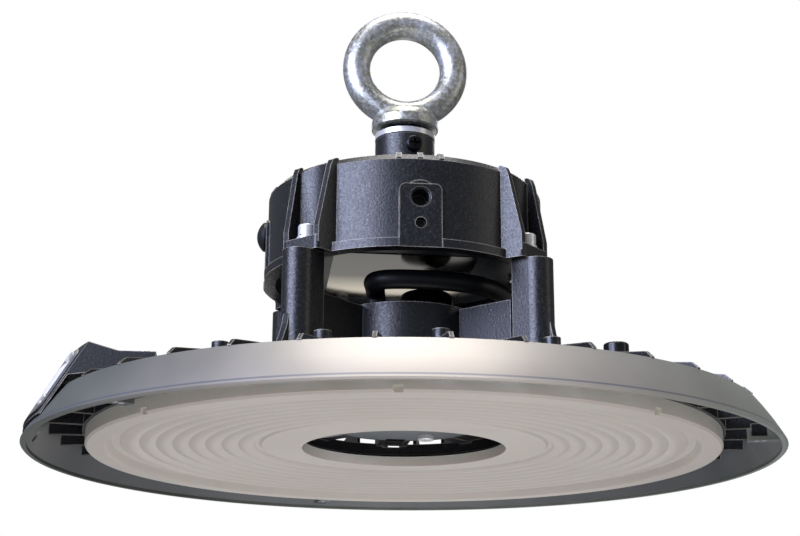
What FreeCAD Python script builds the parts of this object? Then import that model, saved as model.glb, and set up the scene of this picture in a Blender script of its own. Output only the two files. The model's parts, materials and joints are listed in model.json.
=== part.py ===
"""High bay light: a finned LED head, its driver drum on four pillars, and a lifting eye.

Millimetres. The origin is the centre of the trim ring's lower edge, and +Z runs up the
middle of the neck. Angles are seen from above: 0 is the front (-Y) and 90 the right (+X).
Every piece is one node, written to parts/NODE.step.
"""
import FreeCAD, Part
import math
import os

V = FreeCAD.Vector
UP = V(0, 0, 1)

# Fits
SEAT_GAP = 0.3              # between curved or sloped faces that would touch
THREAD_GAP = 0.1            # round a screw in its hole, on the radius
SLIP_GAP = 0.15             # round a loose part in its pocket, on the radius
EPS = 0.5                   # how far a cutting tool stands past the face it cuts

# Trim ring: a spun skirt, and the lowest piece
RIM_RADIUS = 150.0          # outside, at the lower edge
RIM_TAPER = 10.0
RIM_TOP_RADIUS = RIM_RADIUS - RIM_TAPER  # outside, at the upper edge
RIM_HEIGHT = 15.5
RIM_WALL = 1.6
RIM_BULGE = 0.7             # how far the skirt's outside bows out half way up
RIM_HEM_WIDTH = 2.3
RIM_HEM_HEIGHT = 1.3
LUG_ANGLES = (70.0, 190.0, 310.0)
LUG_BOTTOM = 2.1
LUG_THICKNESS = 1.5
LUG_WIDTH = 5.4
LUG_REACH = 15.2            # inwards from the lower edge
LUG_INNER_RADIUS = RIM_RADIUS - LUG_REACH
LUG_LEG_TOP = 6.7
LUG_SCREW_INSETS = (11.6, 9.0)
LUG_SCREW_RADII = tuple(RIM_RADIUS - inset for inset in LUG_SCREW_INSETS)
LUG_SCREW_RADIUS = 0.9
LUG_HEAD_RADIUS = 1.15
LUG_SCREW_LENGTH = 4.0
LUG_PAD_TOP = 8.6           # top of the heat sink's pad over each lug
LUG_PAD_WIDTH = 4.4
TETHER_HOLE_ANGLE = -88.5
TETHER_HOLE_HEIGHT = 5.6
TETHER_HOLE_RADIUS = 2.3

# Heat sink: base plate
RIM_CHANNEL_WIDTH = 23.0    # air channel inside the trim ring, at the lower edge
PLATE_RADIUS = RIM_RADIUS - RIM_CHANNEL_WIDTH
PLATE_TOP = 14.0
OUTER_LAND_BOTTOM = 7.0     # where the lens's outer wall seats
INNER_LAND_BOTTOM = 9.3     # where the lens's inner seal seats
POCKET_BOTTOM = 10.0        # face that the LED board is bonded to
HUB_RADIUS = 30.5
AIR_GAP_WIDTH = 12.5        # between the hub and the plate
INNER_LAND_WIDTH = 14.0
OUTER_LAND_WIDTH = 9.5
AIR_HOLE_RADIUS = HUB_RADIUS + AIR_GAP_WIDTH
POCKET_INNER_RADIUS = AIR_HOLE_RADIUS + INNER_LAND_WIDTH
POCKET_OUTER_RADIUS = PLATE_RADIUS - OUTER_LAND_WIDTH

# Heat sink: fins and bosses
FIN_COUNT = 36
FIN_THICKNESS = 1.5
FIN_BOTTOM = 7.0
FIN_EDGE_INSET = 9.4        # from the trim ring's edge to the fins' upright outer edge
FIN_EDGE_RADIUS = RIM_RADIUS - FIN_EDGE_INSET
DRUM_RADIUS = 57.0          # the pillars stand round the driver drum's wall
FIN_ROOT_GAP = 16.0         # from the drum's wall to the fins' inner ends
FIN_ROOT_RADIUS = DRUM_RADIUS + FIN_ROOT_GAP
FIN_TIP_TOP = 18.2          # top edge at the bevel
FIN_NOSE_HEIGHT = 0.4       # upright face of the tip, over the trim ring
FIN_BEVEL = (2.6, 2.3)      # width and height
FIN_SLOPE = 0.16            # rise of the top edge towards the middle
BOARD_BOSS_COUNT = 18
BOARD_BOSS_RADIUS = 3.0
BOARD_BOSS_TOP = 24.7
BOARD_SCREW_INSET = 3.2
BOARD_SCREW_CIRCLE = POCKET_OUTER_RADIUS - BOARD_SCREW_INSET
BOSS_DIMPLE_RADIUS = 1.8
BOSS_DIMPLE_DEPTH = 1.2

# Heat sink: hub, webs and pillars
HUB_WALL = 3.2
HUB_BOTTOM = 13.2
HUB_TOP = 57.8
HUB_ROOF = 3.5
WEB_WIDTH = 6.0
WEB_DROP = 0.8              # below the hub's roof
WEB_TOP = HUB_TOP - WEB_DROP
WEB_NOTCH_WIDTH = 3.0
WEB_NOTCH_DEPTH = 24.0
PILLAR_COUNT = 4
PILLAR_FIRST_ANGLE = 45.8
PILLAR_GAP = 0.8            # from the drum's wall out to the pillars' inner side
PILLAR_INNER_RADIUS = DRUM_RADIUS + PILLAR_GAP
PILLAR_DEPTH = 7.7          # flat part, before the round outer side
PILLAR_CENTRE_RADIUS = PILLAR_INNER_RADIUS + PILLAR_DEPTH
PILLAR_HALF_WIDTH = 6.3
PILLAR_RISE = 13.7          # above the hub's roof
PILLAR_TOP = HUB_TOP + PILLAR_RISE
FLARE_WIDTH = 3.0
FLARE_DROP = 26.0           # from the pillar's top to the flare's
FLARE_TOP = PILLAR_TOP - FLARE_DROP
FLARE_BEND = (9.2, 36.0)   # out from the pillar's middle, and down from its top
FLARE_MIDDLE = (PILLAR_CENTRE_RADIUS + FLARE_BEND[0], PILLAR_TOP - FLARE_BEND[1])
FLARE_FOOT_REACH = 17.6
FLARE_FOOT_RADIUS = PILLAR_CENTRE_RADIUS + FLARE_FOOT_REACH
BOLT_OFFSET = 4.1           # of the pillar bolts, out from the drum's wall
BOLT_CIRCLE = DRUM_RADIUS + BOLT_OFFSET
DUCT_ANGLE = 181.0          # wire duct from the hub to the LED pocket
DUCT_WIDTH = 13.0
DUCT_WALL = 2.4
DUCT_TOP = 24.0
DUCT_BOTTOM = 13.2

# Vent plug
VENT_ANGLE = 45.0
VENT_INSET = 27.0
VENT_CIRCLE = PLATE_RADIUS - VENT_INSET
VENT_RADIUS = 4.65
VENT_TOP = 32.8
VENT_BOSS_RADIUS = 5.6
VENT_BOSS_TOP = 28.5
VENT_STEM_RADIUS = 2.5
VENT_STEM_LENGTH = 8.0
VENT_GROOVE = 0.25          # depth and half width of the cap's grooves
VENT_GROOVE_COUNT = 20

# LED board
BOARD_THICKNESS = 1.6
BOARD_GAPS = (2.0, 0.6)     # inside and outside, in the pocket
BOARD_INNER_RADIUS = POCKET_INNER_RADIUS + BOARD_GAPS[0]
BOARD_OUTER_RADIUS = POCKET_OUTER_RADIUS - BOARD_GAPS[1]
LED_COUNTS = (24, 30, 36, 42)  # in each ring, from the inside
LED_MARGINS = (9.0, 12.9)   # from the board's edges to the first and last rings
LED_FIRST_RADIUS = BOARD_INNER_RADIUS + LED_MARGINS[0]
LED_LAST_RADIUS = BOARD_OUTER_RADIUS - LED_MARGINS[1]
LED_SIZE = 3.0
LED_HEIGHT = 0.7
BOARD_SCREW_RADIUS = 1.5
BOARD_SCREW_LENGTH = 8.0
BOARD_HEAD_RADIUS = 2.7
BOARD_HEAD_HEIGHT = 1.6

# Lens: a moulded ring with a side wall and concentric ridges
LENS_EDGE_STEP = 1.2        # inside the plate's edge
LENS_HOLE_STEP = 2.0        # inside the plate's air hole
LENS_RADIUS = PLATE_RADIUS - LENS_EDGE_STEP
LENS_HOLE_RADIUS = AIR_HOLE_RADIUS - LENS_HOLE_STEP
LENS_BOTTOM = 0.8           # underside of the outer flange
LENS_FLANGE_WIDTH = 7.8
LENS_FLANGE_INNER_RADIUS = LENS_RADIUS - LENS_FLANGE_WIDTH
LENS_SIDE_WALL = 1.6
LENS_THICKNESS = 1.8
LENS_GROOVE_INSETS = (13.2, 10.4)
LENS_GROOVE_RADII = tuple(LENS_RADIUS - inset for inset in LENS_GROOVE_INSETS)
LENS_GROOVE_BOTTOM = 3.9
LENS_RIDGE_COUNT = 8
LENS_RIDGE_MARGINS = (19.0, 14.2)  # from the hole's edge and the outer edge
LENS_RIDGE_RADII = (LENS_HOLE_RADIUS + LENS_RIDGE_MARGINS[0], LENS_RADIUS - LENS_RIDGE_MARGINS[1])
LENS_RIDGE_DEPTH = 0.7
LENS_RIDGE_INNER_Z = 5.0    # underside at the innermost ridge
LENS_RIDGE_OUTER_Z = 3.3
LENS_LIP_BOTTOM = 4.2
LENS_LIP_TOP = 8.3
LENS_LIP_WALL = 1.7
LENS_NOTCH_COUNT = 8
LENS_NOTCH_FIRST_ANGLE = -7.0
LENS_NOTCH_WIDTH = 3.2
LENS_NOTCH_DEPTH = 1.0
OUTER_SEAL_INSETS = (7.2, 4.2)
OUTER_SEAL_RADII = tuple(LENS_RADIUS - inset for inset in OUTER_SEAL_INSETS)
OUTER_SEAL_HEIGHT = 1.0
INNER_SEAL_OFFSETS = (5.5, 9.5)
INNER_SEAL_RADII = tuple(LENS_HOLE_RADIUS + offset for offset in INNER_SEAL_OFFSETS)
INNER_SEAL_HEIGHT = 1.0

# Hub cover, dome plug and lead glands
COVER_THICKNESS = 2.0
COVER_SEAL_HEIGHT = 0.8
COVER_SCREW_INSET = 10.0
COVER_SCREW_CIRCLE = HUB_RADIUS - COVER_SCREW_INSET
COVER_SCREW_ANGLES = (27.5, 147.5, 267.5)
COVER_SCREW_RADIUS = 1.75
COVER_SCREW_LENGTH = 9.0
COVER_HEAD_RADIUS = 3.4
COVER_HEAD_HEIGHT = 2.0
COVER_POST_RADIUS = 4.0
DOME_INSET = 20.54          # from the hub's outside to the plug's middle
DOME_WAY = (0.9536, 0.3011)  # its direction from the hub's middle
DOME_PLACE = tuple((HUB_RADIUS - DOME_INSET) * way for way in DOME_WAY)
DOME_RADIUS = 10.6
DOME_HEIGHT = 12.2
DOME_TOP = HUB_TOP + DOME_HEIGHT
DOME_SHOULDER = 1.6
DOME_FLUTE_COUNT = 60
DOME_FLUTE_DEPTH = 0.3
DOME_STEM_RADIUS = 7.0
DOME_NUT_RADIUS = 8.6
DOME_NUT_HEIGHT = 3.0

# LED lead: rubber covered, from the hub's roof round the front to the drum's base
LEAD_RADIUS = 3.9
BASE_RECESS = 6.5           # the drum's base lies this far up inside it
BASE_BOTTOM = PILLAR_TOP + BASE_RECESS
HUB_GLAND_INSET = 13.16     # from the hub's outside to the gland's middle
HUB_GLAND_WAY = (-0.7381, -0.6747)
HUB_GLAND_PLACE = tuple((HUB_RADIUS - HUB_GLAND_INSET) * way for way in HUB_GLAND_WAY)
DRUM_GLAND_INSET = 21.34    # from the drum's wall to the gland's middle
DRUM_GLAND_WAY = (0.3786, 0.9256)
DRUM_GLAND_PLACE = tuple((DRUM_RADIUS - DRUM_GLAND_INSET) * way for way in DRUM_GLAND_WAY)
LEAD_TAIL = 6.0             # of the lead, past the drum's base
LEAD_DROP = 10.8            # of the lead, below the hub's roof
LEAD_RISE = 9.0
LEAD_LEVEL = HUB_TOP + LEAD_RISE  # middle of the lead where it lies round the hub
LEAD_ARCH = 0.5             # the first bend stands this much higher
LEAD_DIP = 0.6              # and the far half hangs this much lower
LEAD_ROUTE = (
    (*HUB_GLAND_PLACE, HUB_TOP - LEAD_DROP),
    (*HUB_GLAND_PLACE, LEAD_LEVEL + LEAD_ARCH),
    (-16.5, -29.6, LEAD_LEVEL),
    (14.0, -30.5, LEAD_LEVEL),
    (34.5, -22.0, LEAD_LEVEL - LEAD_DIP / 2),
    (44.0, -1.0, LEAD_LEVEL - LEAD_DIP),
    (37.0, 24.0, LEAD_LEVEL - LEAD_DIP),
    (*DRUM_GLAND_PLACE, LEAD_LEVEL - LEAD_DIP / 2),
    (*DRUM_GLAND_PLACE, BASE_BOTTOM + LEAD_TAIL),
)
GLAND_FLANGE_RADIUS = 7.6
GLAND_FLANGE_HEIGHT = 1.5
GLAND_BODY_RADIUS = 6.0
GLAND_NUT_RADIUS = 7.6
GLAND_NUT_HEIGHT = 3.0

# Driver drum
DRUM_WALL = 3.6
DRUM_BOTTOM = PILLAR_TOP
DRUM_HEIGHT = 38.5
DRUM_TOP = DRUM_BOTTOM + DRUM_HEIGHT
DRUM_ROOF = 4.0
DRUM_BEVEL = (2.3, 2.6)     # of the upper edge: width and height
DRUM_FLANGE_STEP = 1.8
DRUM_FLANGE_RADIUS = DRUM_RADIUS + DRUM_FLANGE_STEP
DRUM_FLANGE_HEIGHT = 3.6
DRUM_SHOULDER = 1.9         # step inside the wall that the base seals against
LUG_PLATE_HEIGHT = 5.5
LUG_HALF_WIDTHS = (10.6, 8.9)  # at the wall and at the outer end
LUG_PLATE_REACH = 8.2
LUG_PLATE_RADIUS = DRUM_RADIUS + LUG_PLATE_REACH
GUSSET_THICKNESS = 2.6
GUSSET_SHOULDERS = ((-0.5, 0.0), (1.1, 0.9), (2.2, 3.6))  # out from the wall, and down from the top
SCOOP_RADIUS = 18.0         # of the hollow in the wall between two gussets
SCOOP_DEPTH = 2.1
PAD_HALF_WIDTH = 8.25
PAD_STEP = 0.9              # out from the drum's wall
PAD_FACE = DRUM_RADIUS + PAD_STEP
PAD_HEIGHT = 25.6
PAD_TOP = DRUM_BOTTOM + PAD_HEIGHT
PAD_CORNER = 2.5
PAD_ANGLES = (0.0, 90.0, 180.0, 270.0)
BRACKET_HOLE_RADIUS = 3.4   # M8, drilled
BRACKET_HOLE_RISE = 20.2
BRACKET_HOLE_HEIGHT = DRUM_BOTTOM + BRACKET_HOLE_RISE
BRACKET_HOLE_DEPTH = 8.5
BRACKET_HOLE_CHAMFER = 0.7
BRACKET_BOSS_RADIUS = 7.0
PIN_HOLE_RADIUS = 2.1       # M5, drilled
PIN_HOLE_RISE = 9.8
PIN_HOLE_HEIGHT = DRUM_BOTTOM + PIN_HOLE_RISE
PIN_HOLE_DEPTH = 3.4
ROOF_RIB_SPACING = 8.5      # degrees
ROOF_RIB_WIDTH = 2.2
ROOF_RIB_HEIGHT = 0.8
ROOF_RIB_INSET = 10.0       # from the drum's wall to the ribs' inner ends
SIDE_PLUG_ANGLE = 270.0
SIDE_PLUG_RADIUS = 6.1
SIDE_PLUG_DOME = 3.6
SIDE_PLUG_EDGE = 0.8
SIDE_PLUG_STEM_LENGTH = 7.0

# Pillar bolts, M4
BOLT_RADIUS = 2.0
BOLT_LENGTH = 16.0
BOLT_HEAD_RADIUS = 3.5
BOLT_HEAD_HEIGHT = 4.0
BOLT_SOCKET_FLATS = 3.0
BOLT_SOCKET_DEPTH = 2.2
BOLT_HOLE_GAP = 0.3
FLAT_WASHER = (4.0, 0.8)    # outer radius, thickness
SPRING_WASHER = (3.5, 1.0)

# Drum base and its fastenings
BASE_THICKNESS = 2.5
BASE_SEAL_HEIGHT = 1.2
BASE_SCREW_COUNT = 6
BASE_SCREW_FIRST_ANGLE = 30.0
BASE_SCREW_INSET = 10.5
BASE_SCREW_CIRCLE = DRUM_RADIUS - BASE_SCREW_INSET
BASE_SCREW_RADIUS = 1.5
BASE_SCREW_LENGTH = 9.0
BASE_HEAD_RADIUS = 2.8
BASE_HEAD_HEIGHT = 1.8
BASE_POST_RADIUS = 3.8
BASE_LABEL_SIZE = (58.0, 64.0)
BASE_LABEL_CENTRE = (-2.0, 5.0)
BASE_LABEL_THICKNESS = 0.3
BASE_LABEL_CORNER = 3.0

# Driver parts inside the drum
PCB_THICKNESS = 1.6
PCB_GAP = 16.0              # from the board's edge to the drum's outside
PCB_RADIUS = DRUM_RADIUS - PCB_GAP
PCB_STANDOFF = 4.0
PCB_STANDOFF_RADIUS = 2.5
PCB_STANDOFF_INSET = 4.0
PCB_STANDOFF_CIRCLE = PCB_RADIUS - PCB_STANDOFF_INSET
PCB_STANDOFF_ANGLES = (45.0, 135.0, 225.0, 315.0)
CORE_SIZE = (22.0, 24.0, 14.0)      # transformer core: width, depth, height
CORE_LIMB = 3.5
CORE_PLACE = (-20.0, 6.0)
COIL_DEPTH = 20.0
CAN_RADIUS = 6.5                    # electrolytic capacitors
CAN_HEIGHT = 13.0
CAN_PLACES = ((18.0, -14.0), (27.5, -3.0))
FILM_SIZE = (14.0, 7.0, 9.0)        # film capacitors
FILM_PLACES = ((1.0, -30.0), (-22.0, -13.5))
CHOKE_RADII = (9.0, 4.0)
CHOKE_HEIGHT = 9.0
CHOKE_PLACE = (2.0, -14.0)
TERMINAL_SIZE = (18.0, 10.0, 10.0)
TERMINAL_PITCH = 6.0
TERMINAL_SCREW_RADIUS = 1.6
TERMINAL_PLACE = (12.0, 13.0)
FIXING_HEAD = (2.4, 1.6)            # radius and height

# Neck and lifting eye, M12
NECK_RADIUS = 12.65
NECK_HEIGHT = 26.7
NECK_TOP = DRUM_TOP + NECK_HEIGHT
NECK_FILLET = 2.5
NECK_BORE_DEPTH = 26.0
EYE_THREAD_RADIUS = 6.0
EYE_SHANK_LENGTH = 22.0
FACE_WASHER_RADIUS = 12.8
FACE_WASHER_THICKNESS = 2.3
EYE_LOCK_WASHER_RADIUS = 10.4
EYE_LOCK_WASHER_THICKNESS = 2.0
COLLAR_RADIUS = 14.2
COLLAR_HEIGHT = 4.2
COLLAR_SHOULDER = (1.8, 3.2)    # the round shoulder's half-way point: in and up
COLLAR_NECK_RADIUS = 7.5
EYE_CENTRE_HEIGHT = 29.0    # above the collar's base
EYE_RING_RADIUS = 21.0
EYE_TUBE_RADIUS = 6.0
SET_SCREW_ANGLE = 10.0
SET_SCREW_DROP = 5.7        # below the neck's end
SET_SCREW_HEIGHT = NECK_TOP - SET_SCREW_DROP
SET_SCREW_RADIUS = 2.0
SET_HEAD_RADIUS = 3.45
SET_HEAD_HEIGHT = 2.4

# Rating plate on its bracket, left side
LABEL_ANGLE = 270.0
LABEL_HALF_WIDTH = 57.5
LABEL_BOTTOM = 4.2
LABEL_TOP = 31.0
LABEL_LEAN = 2.6            # the sheet's upper edge stands this much further off the skirt's line
BACKING_THICKNESS = 0.9
LABEL_GAP = 0.25            # adhesive line between the backing and the plate
LABEL_THICKNESS = 0.7
LABEL_MARGIN = 1.8
LABEL_CORNER = 4.0
BRACKET_REACH = 30.0        # inwards from the plate's edge
BRACKET_INNER_RADIUS = PLATE_RADIUS - BRACKET_REACH
BRACKET_SCREW_ANGLES = (244.0, 296.0)
BRACKET_SCREW_OFFSET = 16.0
BRACKET_SCREW_CIRCLE = BRACKET_INNER_RADIUS + BRACKET_SCREW_OFFSET
BRACKET_SCREW_RADIUS = 1.5
BRACKET_SCREW_LENGTH = 10.0
BRACKET_HEAD_RADIUS = 2.9
BRACKET_HEAD_HEIGHT = 1.8
BRACKET_POST_RADIUS = 4.2
BRACKET_WALL = 2.0
BRACKET_CREASE_OFFSET = 27.5
BRACKET_CREASE_RADIUS = BRACKET_INNER_RADIUS + BRACKET_CREASE_OFFSET
BRACKET_CREASE_DROP = 3.0   # top panel's fall from the plate's upper edge to the crease
RIVET_RADIUS = 1.2
RIVET_HEAD_RADIUS = 2.2
RIVET_HEAD_HEIGHT = 0.7
RIVET_LENGTH = 1.5
RIVET_INSET = (7.0, 5.0)    # from the plate's ends, and from its edges


def turn(shape, angle):
    """Turn a shape built at the front (-Y) round to an angle."""
    copy = shape.copy()
    copy.rotate(V(0, 0, 0), UP, angle)
    return copy


def polar(radius, angle, z=0.0):
    """The point at a radius, an angle from the front and a height."""
    a = math.radians(angle)
    return V(radius * math.sin(a), -radius * math.cos(a), z)


def disc(radius, z0, z1, place=(0.0, 0.0)):
    """An upright cylinder."""
    return Part.makeCylinder(radius, z1 - z0, V(place[0], place[1], z0))


def tube(outer, inner, z0, z1, place=(0.0, 0.0)):
    """An upright cylinder with a through hole."""
    return disc(outer, z0, z1, place).cut(disc(inner, z0 - EPS, z1 + EPS, place))


def block(x0, x1, y0, y1, z0, z1):
    """A box between two corners."""
    return Part.makeBox(x1 - x0, y1 - y0, z1 - z0, V(x0, y0, z0))


def centred_block(width, depth, z0, z1):
    """A box centred on the axis."""
    return block(-width / 2, width / 2, -depth / 2, depth / 2, z0, z1)


def front_block(r0, r1, half_width, z0, z1):
    """A box standing out from the axis towards the front."""
    return block(-half_width, half_width, -r1, -r0, z0, z1)


def front_prism(points, width):
    """A plate in the front's radial plane, from (radius, height) points."""
    ring = [V(-width / 2, -r, z) for r, z in points]
    face = Part.Face(Part.makePolygon(ring + ring[:1]))
    return face.extrude(V(width, 0, 0))


def lathe(edges):
    """A solid of revolution from edges in the (x = radius, z) plane."""
    face = Part.Face(Part.Wire(edges))
    solid = face.revolve(V(0, 0, 0), UP, 360)
    return solid


def lathe_points(points):
    """A solid of revolution from (radius, height) corners."""
    ring = [V(r, 0, z) for r, z in points]
    return lathe(Part.makePolygon(ring + ring[:1]).Edges)


def line(a, b):
    """A straight edge between two (radius, height) points."""
    return Part.makeLine(V(a[0], 0, a[1]), V(b[0], 0, b[1]))


def arc(a, middle, b):
    """A circular edge through three (radius, height) points."""
    points = [V(p[0], 0, p[1]) for p in (a, middle, b)]
    return Part.Arc(*points).toShape()


def fuse(shapes):
    """One solid from overlapping or touching shapes."""
    shapes = list(shapes)
    if len(shapes) == 1:
        return shapes[0]
    return shapes[0].multiFuse(shapes[1:]).removeSplitter()


def cut(shape, tools):
    """A shape less several tools."""
    return shape.cut(Part.makeCompound(list(tools)))


def around(shape, count, first=0.0):
    """Copies of a front shape, evenly round the axis."""
    return [turn(shape, first + i * 360.0 / count) for i in range(count)]


def skirt_radius(z):
    """The skirt's straight outside line, run on above and below the ring."""
    return RIM_RADIUS + (RIM_TOP_RADIUS - RIM_RADIUS) * z / RIM_HEIGHT


def skirt_height(radius):
    """The height at which the skirt's straight outside line has a radius."""
    return (RIM_RADIUS - radius) * RIM_HEIGHT / (RIM_RADIUS - RIM_TOP_RADIUS)


def screw_up(radius, length, head_radius, head_height, face_z, head_round=0.35):
    """A pan head screw driven upwards into a face at face_z, on the axis."""
    shank = disc(radius, face_z, face_z + length)
    head = disc(head_radius, face_z - head_height, face_z)
    rim = [e for e in head.Edges if abs(e.BoundBox.ZMax - (face_z - head_height)) < 1e-6]
    head = head.makeFillet(head_height * head_round, rim)
    slot_depth = head_height * 0.55
    bottom = face_z - head_height
    arm = head_radius * 0.55
    half = head_radius * 0.13
    cross = fuse([block(-arm, arm, -half, half, bottom - EPS, bottom + slot_depth),
                  block(-half, half, -arm, arm, bottom - EPS, bottom + slot_depth)])
    return fuse([shank, head]).cut(cross)


def moved(shape, place, z=0.0):
    """A copy shifted sideways by an (x, y) place and up by z."""
    copy = shape.copy()
    copy.translate(V(place[0], place[1], z))
    return copy


def make_trim_ring():
    """The conical skirt, its hem, three inner lugs and the tether hole."""
    middle_z = RIM_HEIGHT / 2
    outer_low = (RIM_RADIUS, RIM_HEM_HEIGHT * 0.5)
    outer_top = (RIM_TOP_RADIUS, RIM_HEIGHT)
    bowed = (skirt_radius(middle_z) + RIM_BULGE, middle_z)
    inner_top = (RIM_TOP_RADIUS - RIM_WALL, RIM_HEIGHT)
    inner_low = (skirt_radius(RIM_HEM_HEIGHT) - RIM_WALL, RIM_HEM_HEIGHT)
    hem_top = (RIM_RADIUS - RIM_HEM_WIDTH, RIM_HEM_HEIGHT)
    hem_low = (RIM_RADIUS - RIM_HEM_WIDTH, 0.0)
    edge_low = (RIM_RADIUS - RIM_HEM_HEIGHT * 0.5, 0.0)
    ring = lathe([
        arc(outer_low, bowed, outer_top),
        line(outer_top, inner_top),
        line(inner_top, inner_low),
        line(inner_low, hem_top),
        line(hem_top, hem_low),
        line(hem_low, edge_low),
        line(edge_low, outer_low),
    ])
    lug_outer = skirt_radius(LUG_BOTTOM) - RIM_WALL * 0.5
    strip = front_block(LUG_INNER_RADIUS, lug_outer - LUG_THICKNESS * 0.3, LUG_WIDTH / 2,
                        LUG_BOTTOM, LUG_BOTTOM + LUG_THICKNESS)
    leg = front_block(LUG_INNER_RADIUS, LUG_INNER_RADIUS + LUG_THICKNESS, LUG_WIDTH / 2,
                      LUG_BOTTOM, LUG_LEG_TOP)
    lug = fuse([strip, leg])
    holes = [disc(LUG_SCREW_RADIUS + THREAD_GAP, LUG_BOTTOM - EPS, LUG_LEG_TOP, (0, -r))
             for r in LUG_SCREW_RADII]
    sinks = [disc(LUG_HEAD_RADIUS + THREAD_GAP, LUG_BOTTOM - EPS, LUG_BOTTOM + LUG_THICKNESS / 2,
                  (0, -r)) for r in LUG_SCREW_RADII]
    lug = cut(lug, holes + sinks)
    ring = fuse([ring] + [turn(lug, a) for a in LUG_ANGLES])
    drill = Part.makeCylinder(TETHER_HOLE_RADIUS, RIM_RADIUS, V(0, 0, TETHER_HOLE_HEIGHT),
                              V(0, -1, 0))
    return ring.cut(turn(drill, TETHER_HOLE_ANGLE))


def make_ring_screws():
    """Six small screws that hold the trim ring's lugs under the heat sink."""
    face = LUG_BOTTOM + LUG_THICKNESS / 2
    shank = disc(LUG_SCREW_RADIUS, face, face + LUG_SCREW_LENGTH)
    head = disc(LUG_HEAD_RADIUS, LUG_BOTTOM + 0.1, face)
    screw = fuse([shank, head])
    return [turn(moved(screw, (0, -r)), a) for a in LUG_ANGLES for r in LUG_SCREW_RADII]


def fin_profile():
    """A fin's outline in (radius, height), from the root round by the bevelled tip."""
    wall = RIM_WALL + SEAT_GAP
    tip = RIM_TOP_RADIUS + 0.2
    return [
        (FIN_ROOT_RADIUS, PLATE_TOP - 2.0),
        (PLATE_RADIUS - 1.0, PLATE_TOP - 2.0),
        (PLATE_RADIUS - 1.0, FIN_BOTTOM),
        (FIN_EDGE_RADIUS, FIN_BOTTOM),
        (FIN_EDGE_RADIUS, skirt_height(FIN_EDGE_RADIUS + wall)),
        (skirt_radius(RIM_HEIGHT) - wall, RIM_HEIGHT),
        (tip, RIM_HEIGHT),
        (tip, RIM_HEIGHT + FIN_NOSE_HEIGHT),
        (tip - FIN_BEVEL[0], RIM_HEIGHT + FIN_NOSE_HEIGHT + FIN_BEVEL[1]),
        (FIN_ROOT_RADIUS, FIN_TIP_TOP + FIN_SLOPE * (tip - FIN_BEVEL[0] - FIN_ROOT_RADIUS)),
    ]


def make_pillar():
    """One front pillar with its round outer side and the flare at its foot."""
    low = POCKET_BOTTOM + 1.0
    straight = front_block(PILLAR_INNER_RADIUS, PILLAR_CENTRE_RADIUS, PILLAR_HALF_WIDTH,
                           low, PILLAR_TOP)
    rounded = disc(PILLAR_HALF_WIDTH, low, PILLAR_TOP, (0, -PILLAR_CENTRE_RADIUS))
    face = PILLAR_CENTRE_RADIUS + PILLAR_HALF_WIDTH
    flare = front_prism([
        (PILLAR_CENTRE_RADIUS, low),
        (PILLAR_CENTRE_RADIUS, FLARE_TOP),
        (face, FLARE_TOP),
        (face + 0.28 * (FLARE_MIDDLE[0] - face), 0.55 * FLARE_TOP + 0.45 * FLARE_MIDDLE[1]),
        FLARE_MIDDLE,
        (FLARE_FOOT_RADIUS, PLATE_TOP + 6.0),
        (FLARE_FOOT_RADIUS, low),
    ], FLARE_WIDTH)
    return fuse([straight, rounded, flare])


def make_duct():
    """The wire duct's two walls and roof, from the hub out over the air hole."""
    outer = front_block(HUB_RADIUS - HUB_WALL / 2, AIR_HOLE_RADIUS + 6.0, DUCT_WIDTH / 2,
                        DUCT_BOTTOM, DUCT_TOP)
    return turn(outer, DUCT_ANGLE)


def duct_passage():
    """The space inside the wire duct, into the hub at one end."""
    inner = front_block(HUB_RADIUS - HUB_WALL - 1.0, AIR_HOLE_RADIUS + 2.0,
                        DUCT_WIDTH / 2 - DUCT_WALL, DUCT_BOTTOM - EPS, DUCT_TOP - DUCT_WALL)
    slot = front_block(AIR_HOLE_RADIUS + 1.0, POCKET_INNER_RADIUS + 4.0,
                       DUCT_WIDTH / 2 - DUCT_WALL, POCKET_BOTTOM, DUCT_TOP - DUCT_WALL)
    return turn(inner, DUCT_ANGLE), turn(slot, DUCT_ANGLE)


def base_plate():
    """The heat sink's round plate with its lands, LED pocket and air hole."""
    return lathe_points([
        (AIR_HOLE_RADIUS, INNER_LAND_BOTTOM),
        (POCKET_INNER_RADIUS, INNER_LAND_BOTTOM),
        (POCKET_INNER_RADIUS, POCKET_BOTTOM),
        (POCKET_OUTER_RADIUS, POCKET_BOTTOM),
        (POCKET_OUTER_RADIUS, OUTER_LAND_BOTTOM),
        (PLATE_RADIUS, OUTER_LAND_BOTTOM),
        (PLATE_RADIUS, PLATE_TOP),
        (AIR_HOLE_RADIUS, PLATE_TOP),
    ])


def hub_shell():
    """The hub's drum with its roof, open below, and the cover's screw posts."""
    shell = disc(HUB_RADIUS, HUB_BOTTOM, HUB_TOP)
    cavity = disc(HUB_RADIUS - HUB_WALL, HUB_BOTTOM - EPS, HUB_TOP - HUB_ROOF)
    seat = disc(cover_radius() + SLIP_GAP, HUB_BOTTOM - EPS, cover_seal_top())
    post = disc(COVER_POST_RADIUS, cover_seal_top(), HUB_TOP - HUB_ROOF / 2,
                (0, -COVER_SCREW_CIRCLE))
    posts = [turn(post, a) for a in COVER_SCREW_ANGLES]
    return fuse([cut(shell, [cavity, seat])] + posts)


def cover_radius():
    """The hub cover's radius: it covers the cavity and half of the wall."""
    return HUB_RADIUS - HUB_WALL * 0.5


def cover_seal_top():
    """Top of the hub cover's seal, where the hub's wall and posts stand on it."""
    return HUB_BOTTOM + COVER_THICKNESS + COVER_SEAL_HEIGHT


def blind_hole(radius, depth, face_z, place):
    """A drilled hole that runs up from a face, with the drill's pointed end."""
    hole = disc(radius, face_z - EPS, face_z + depth, place)
    point = Part.makeCone(radius, 0.0, radius * 0.6, V(place[0], place[1], face_z + depth))
    return fuse([hole, point])


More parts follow.
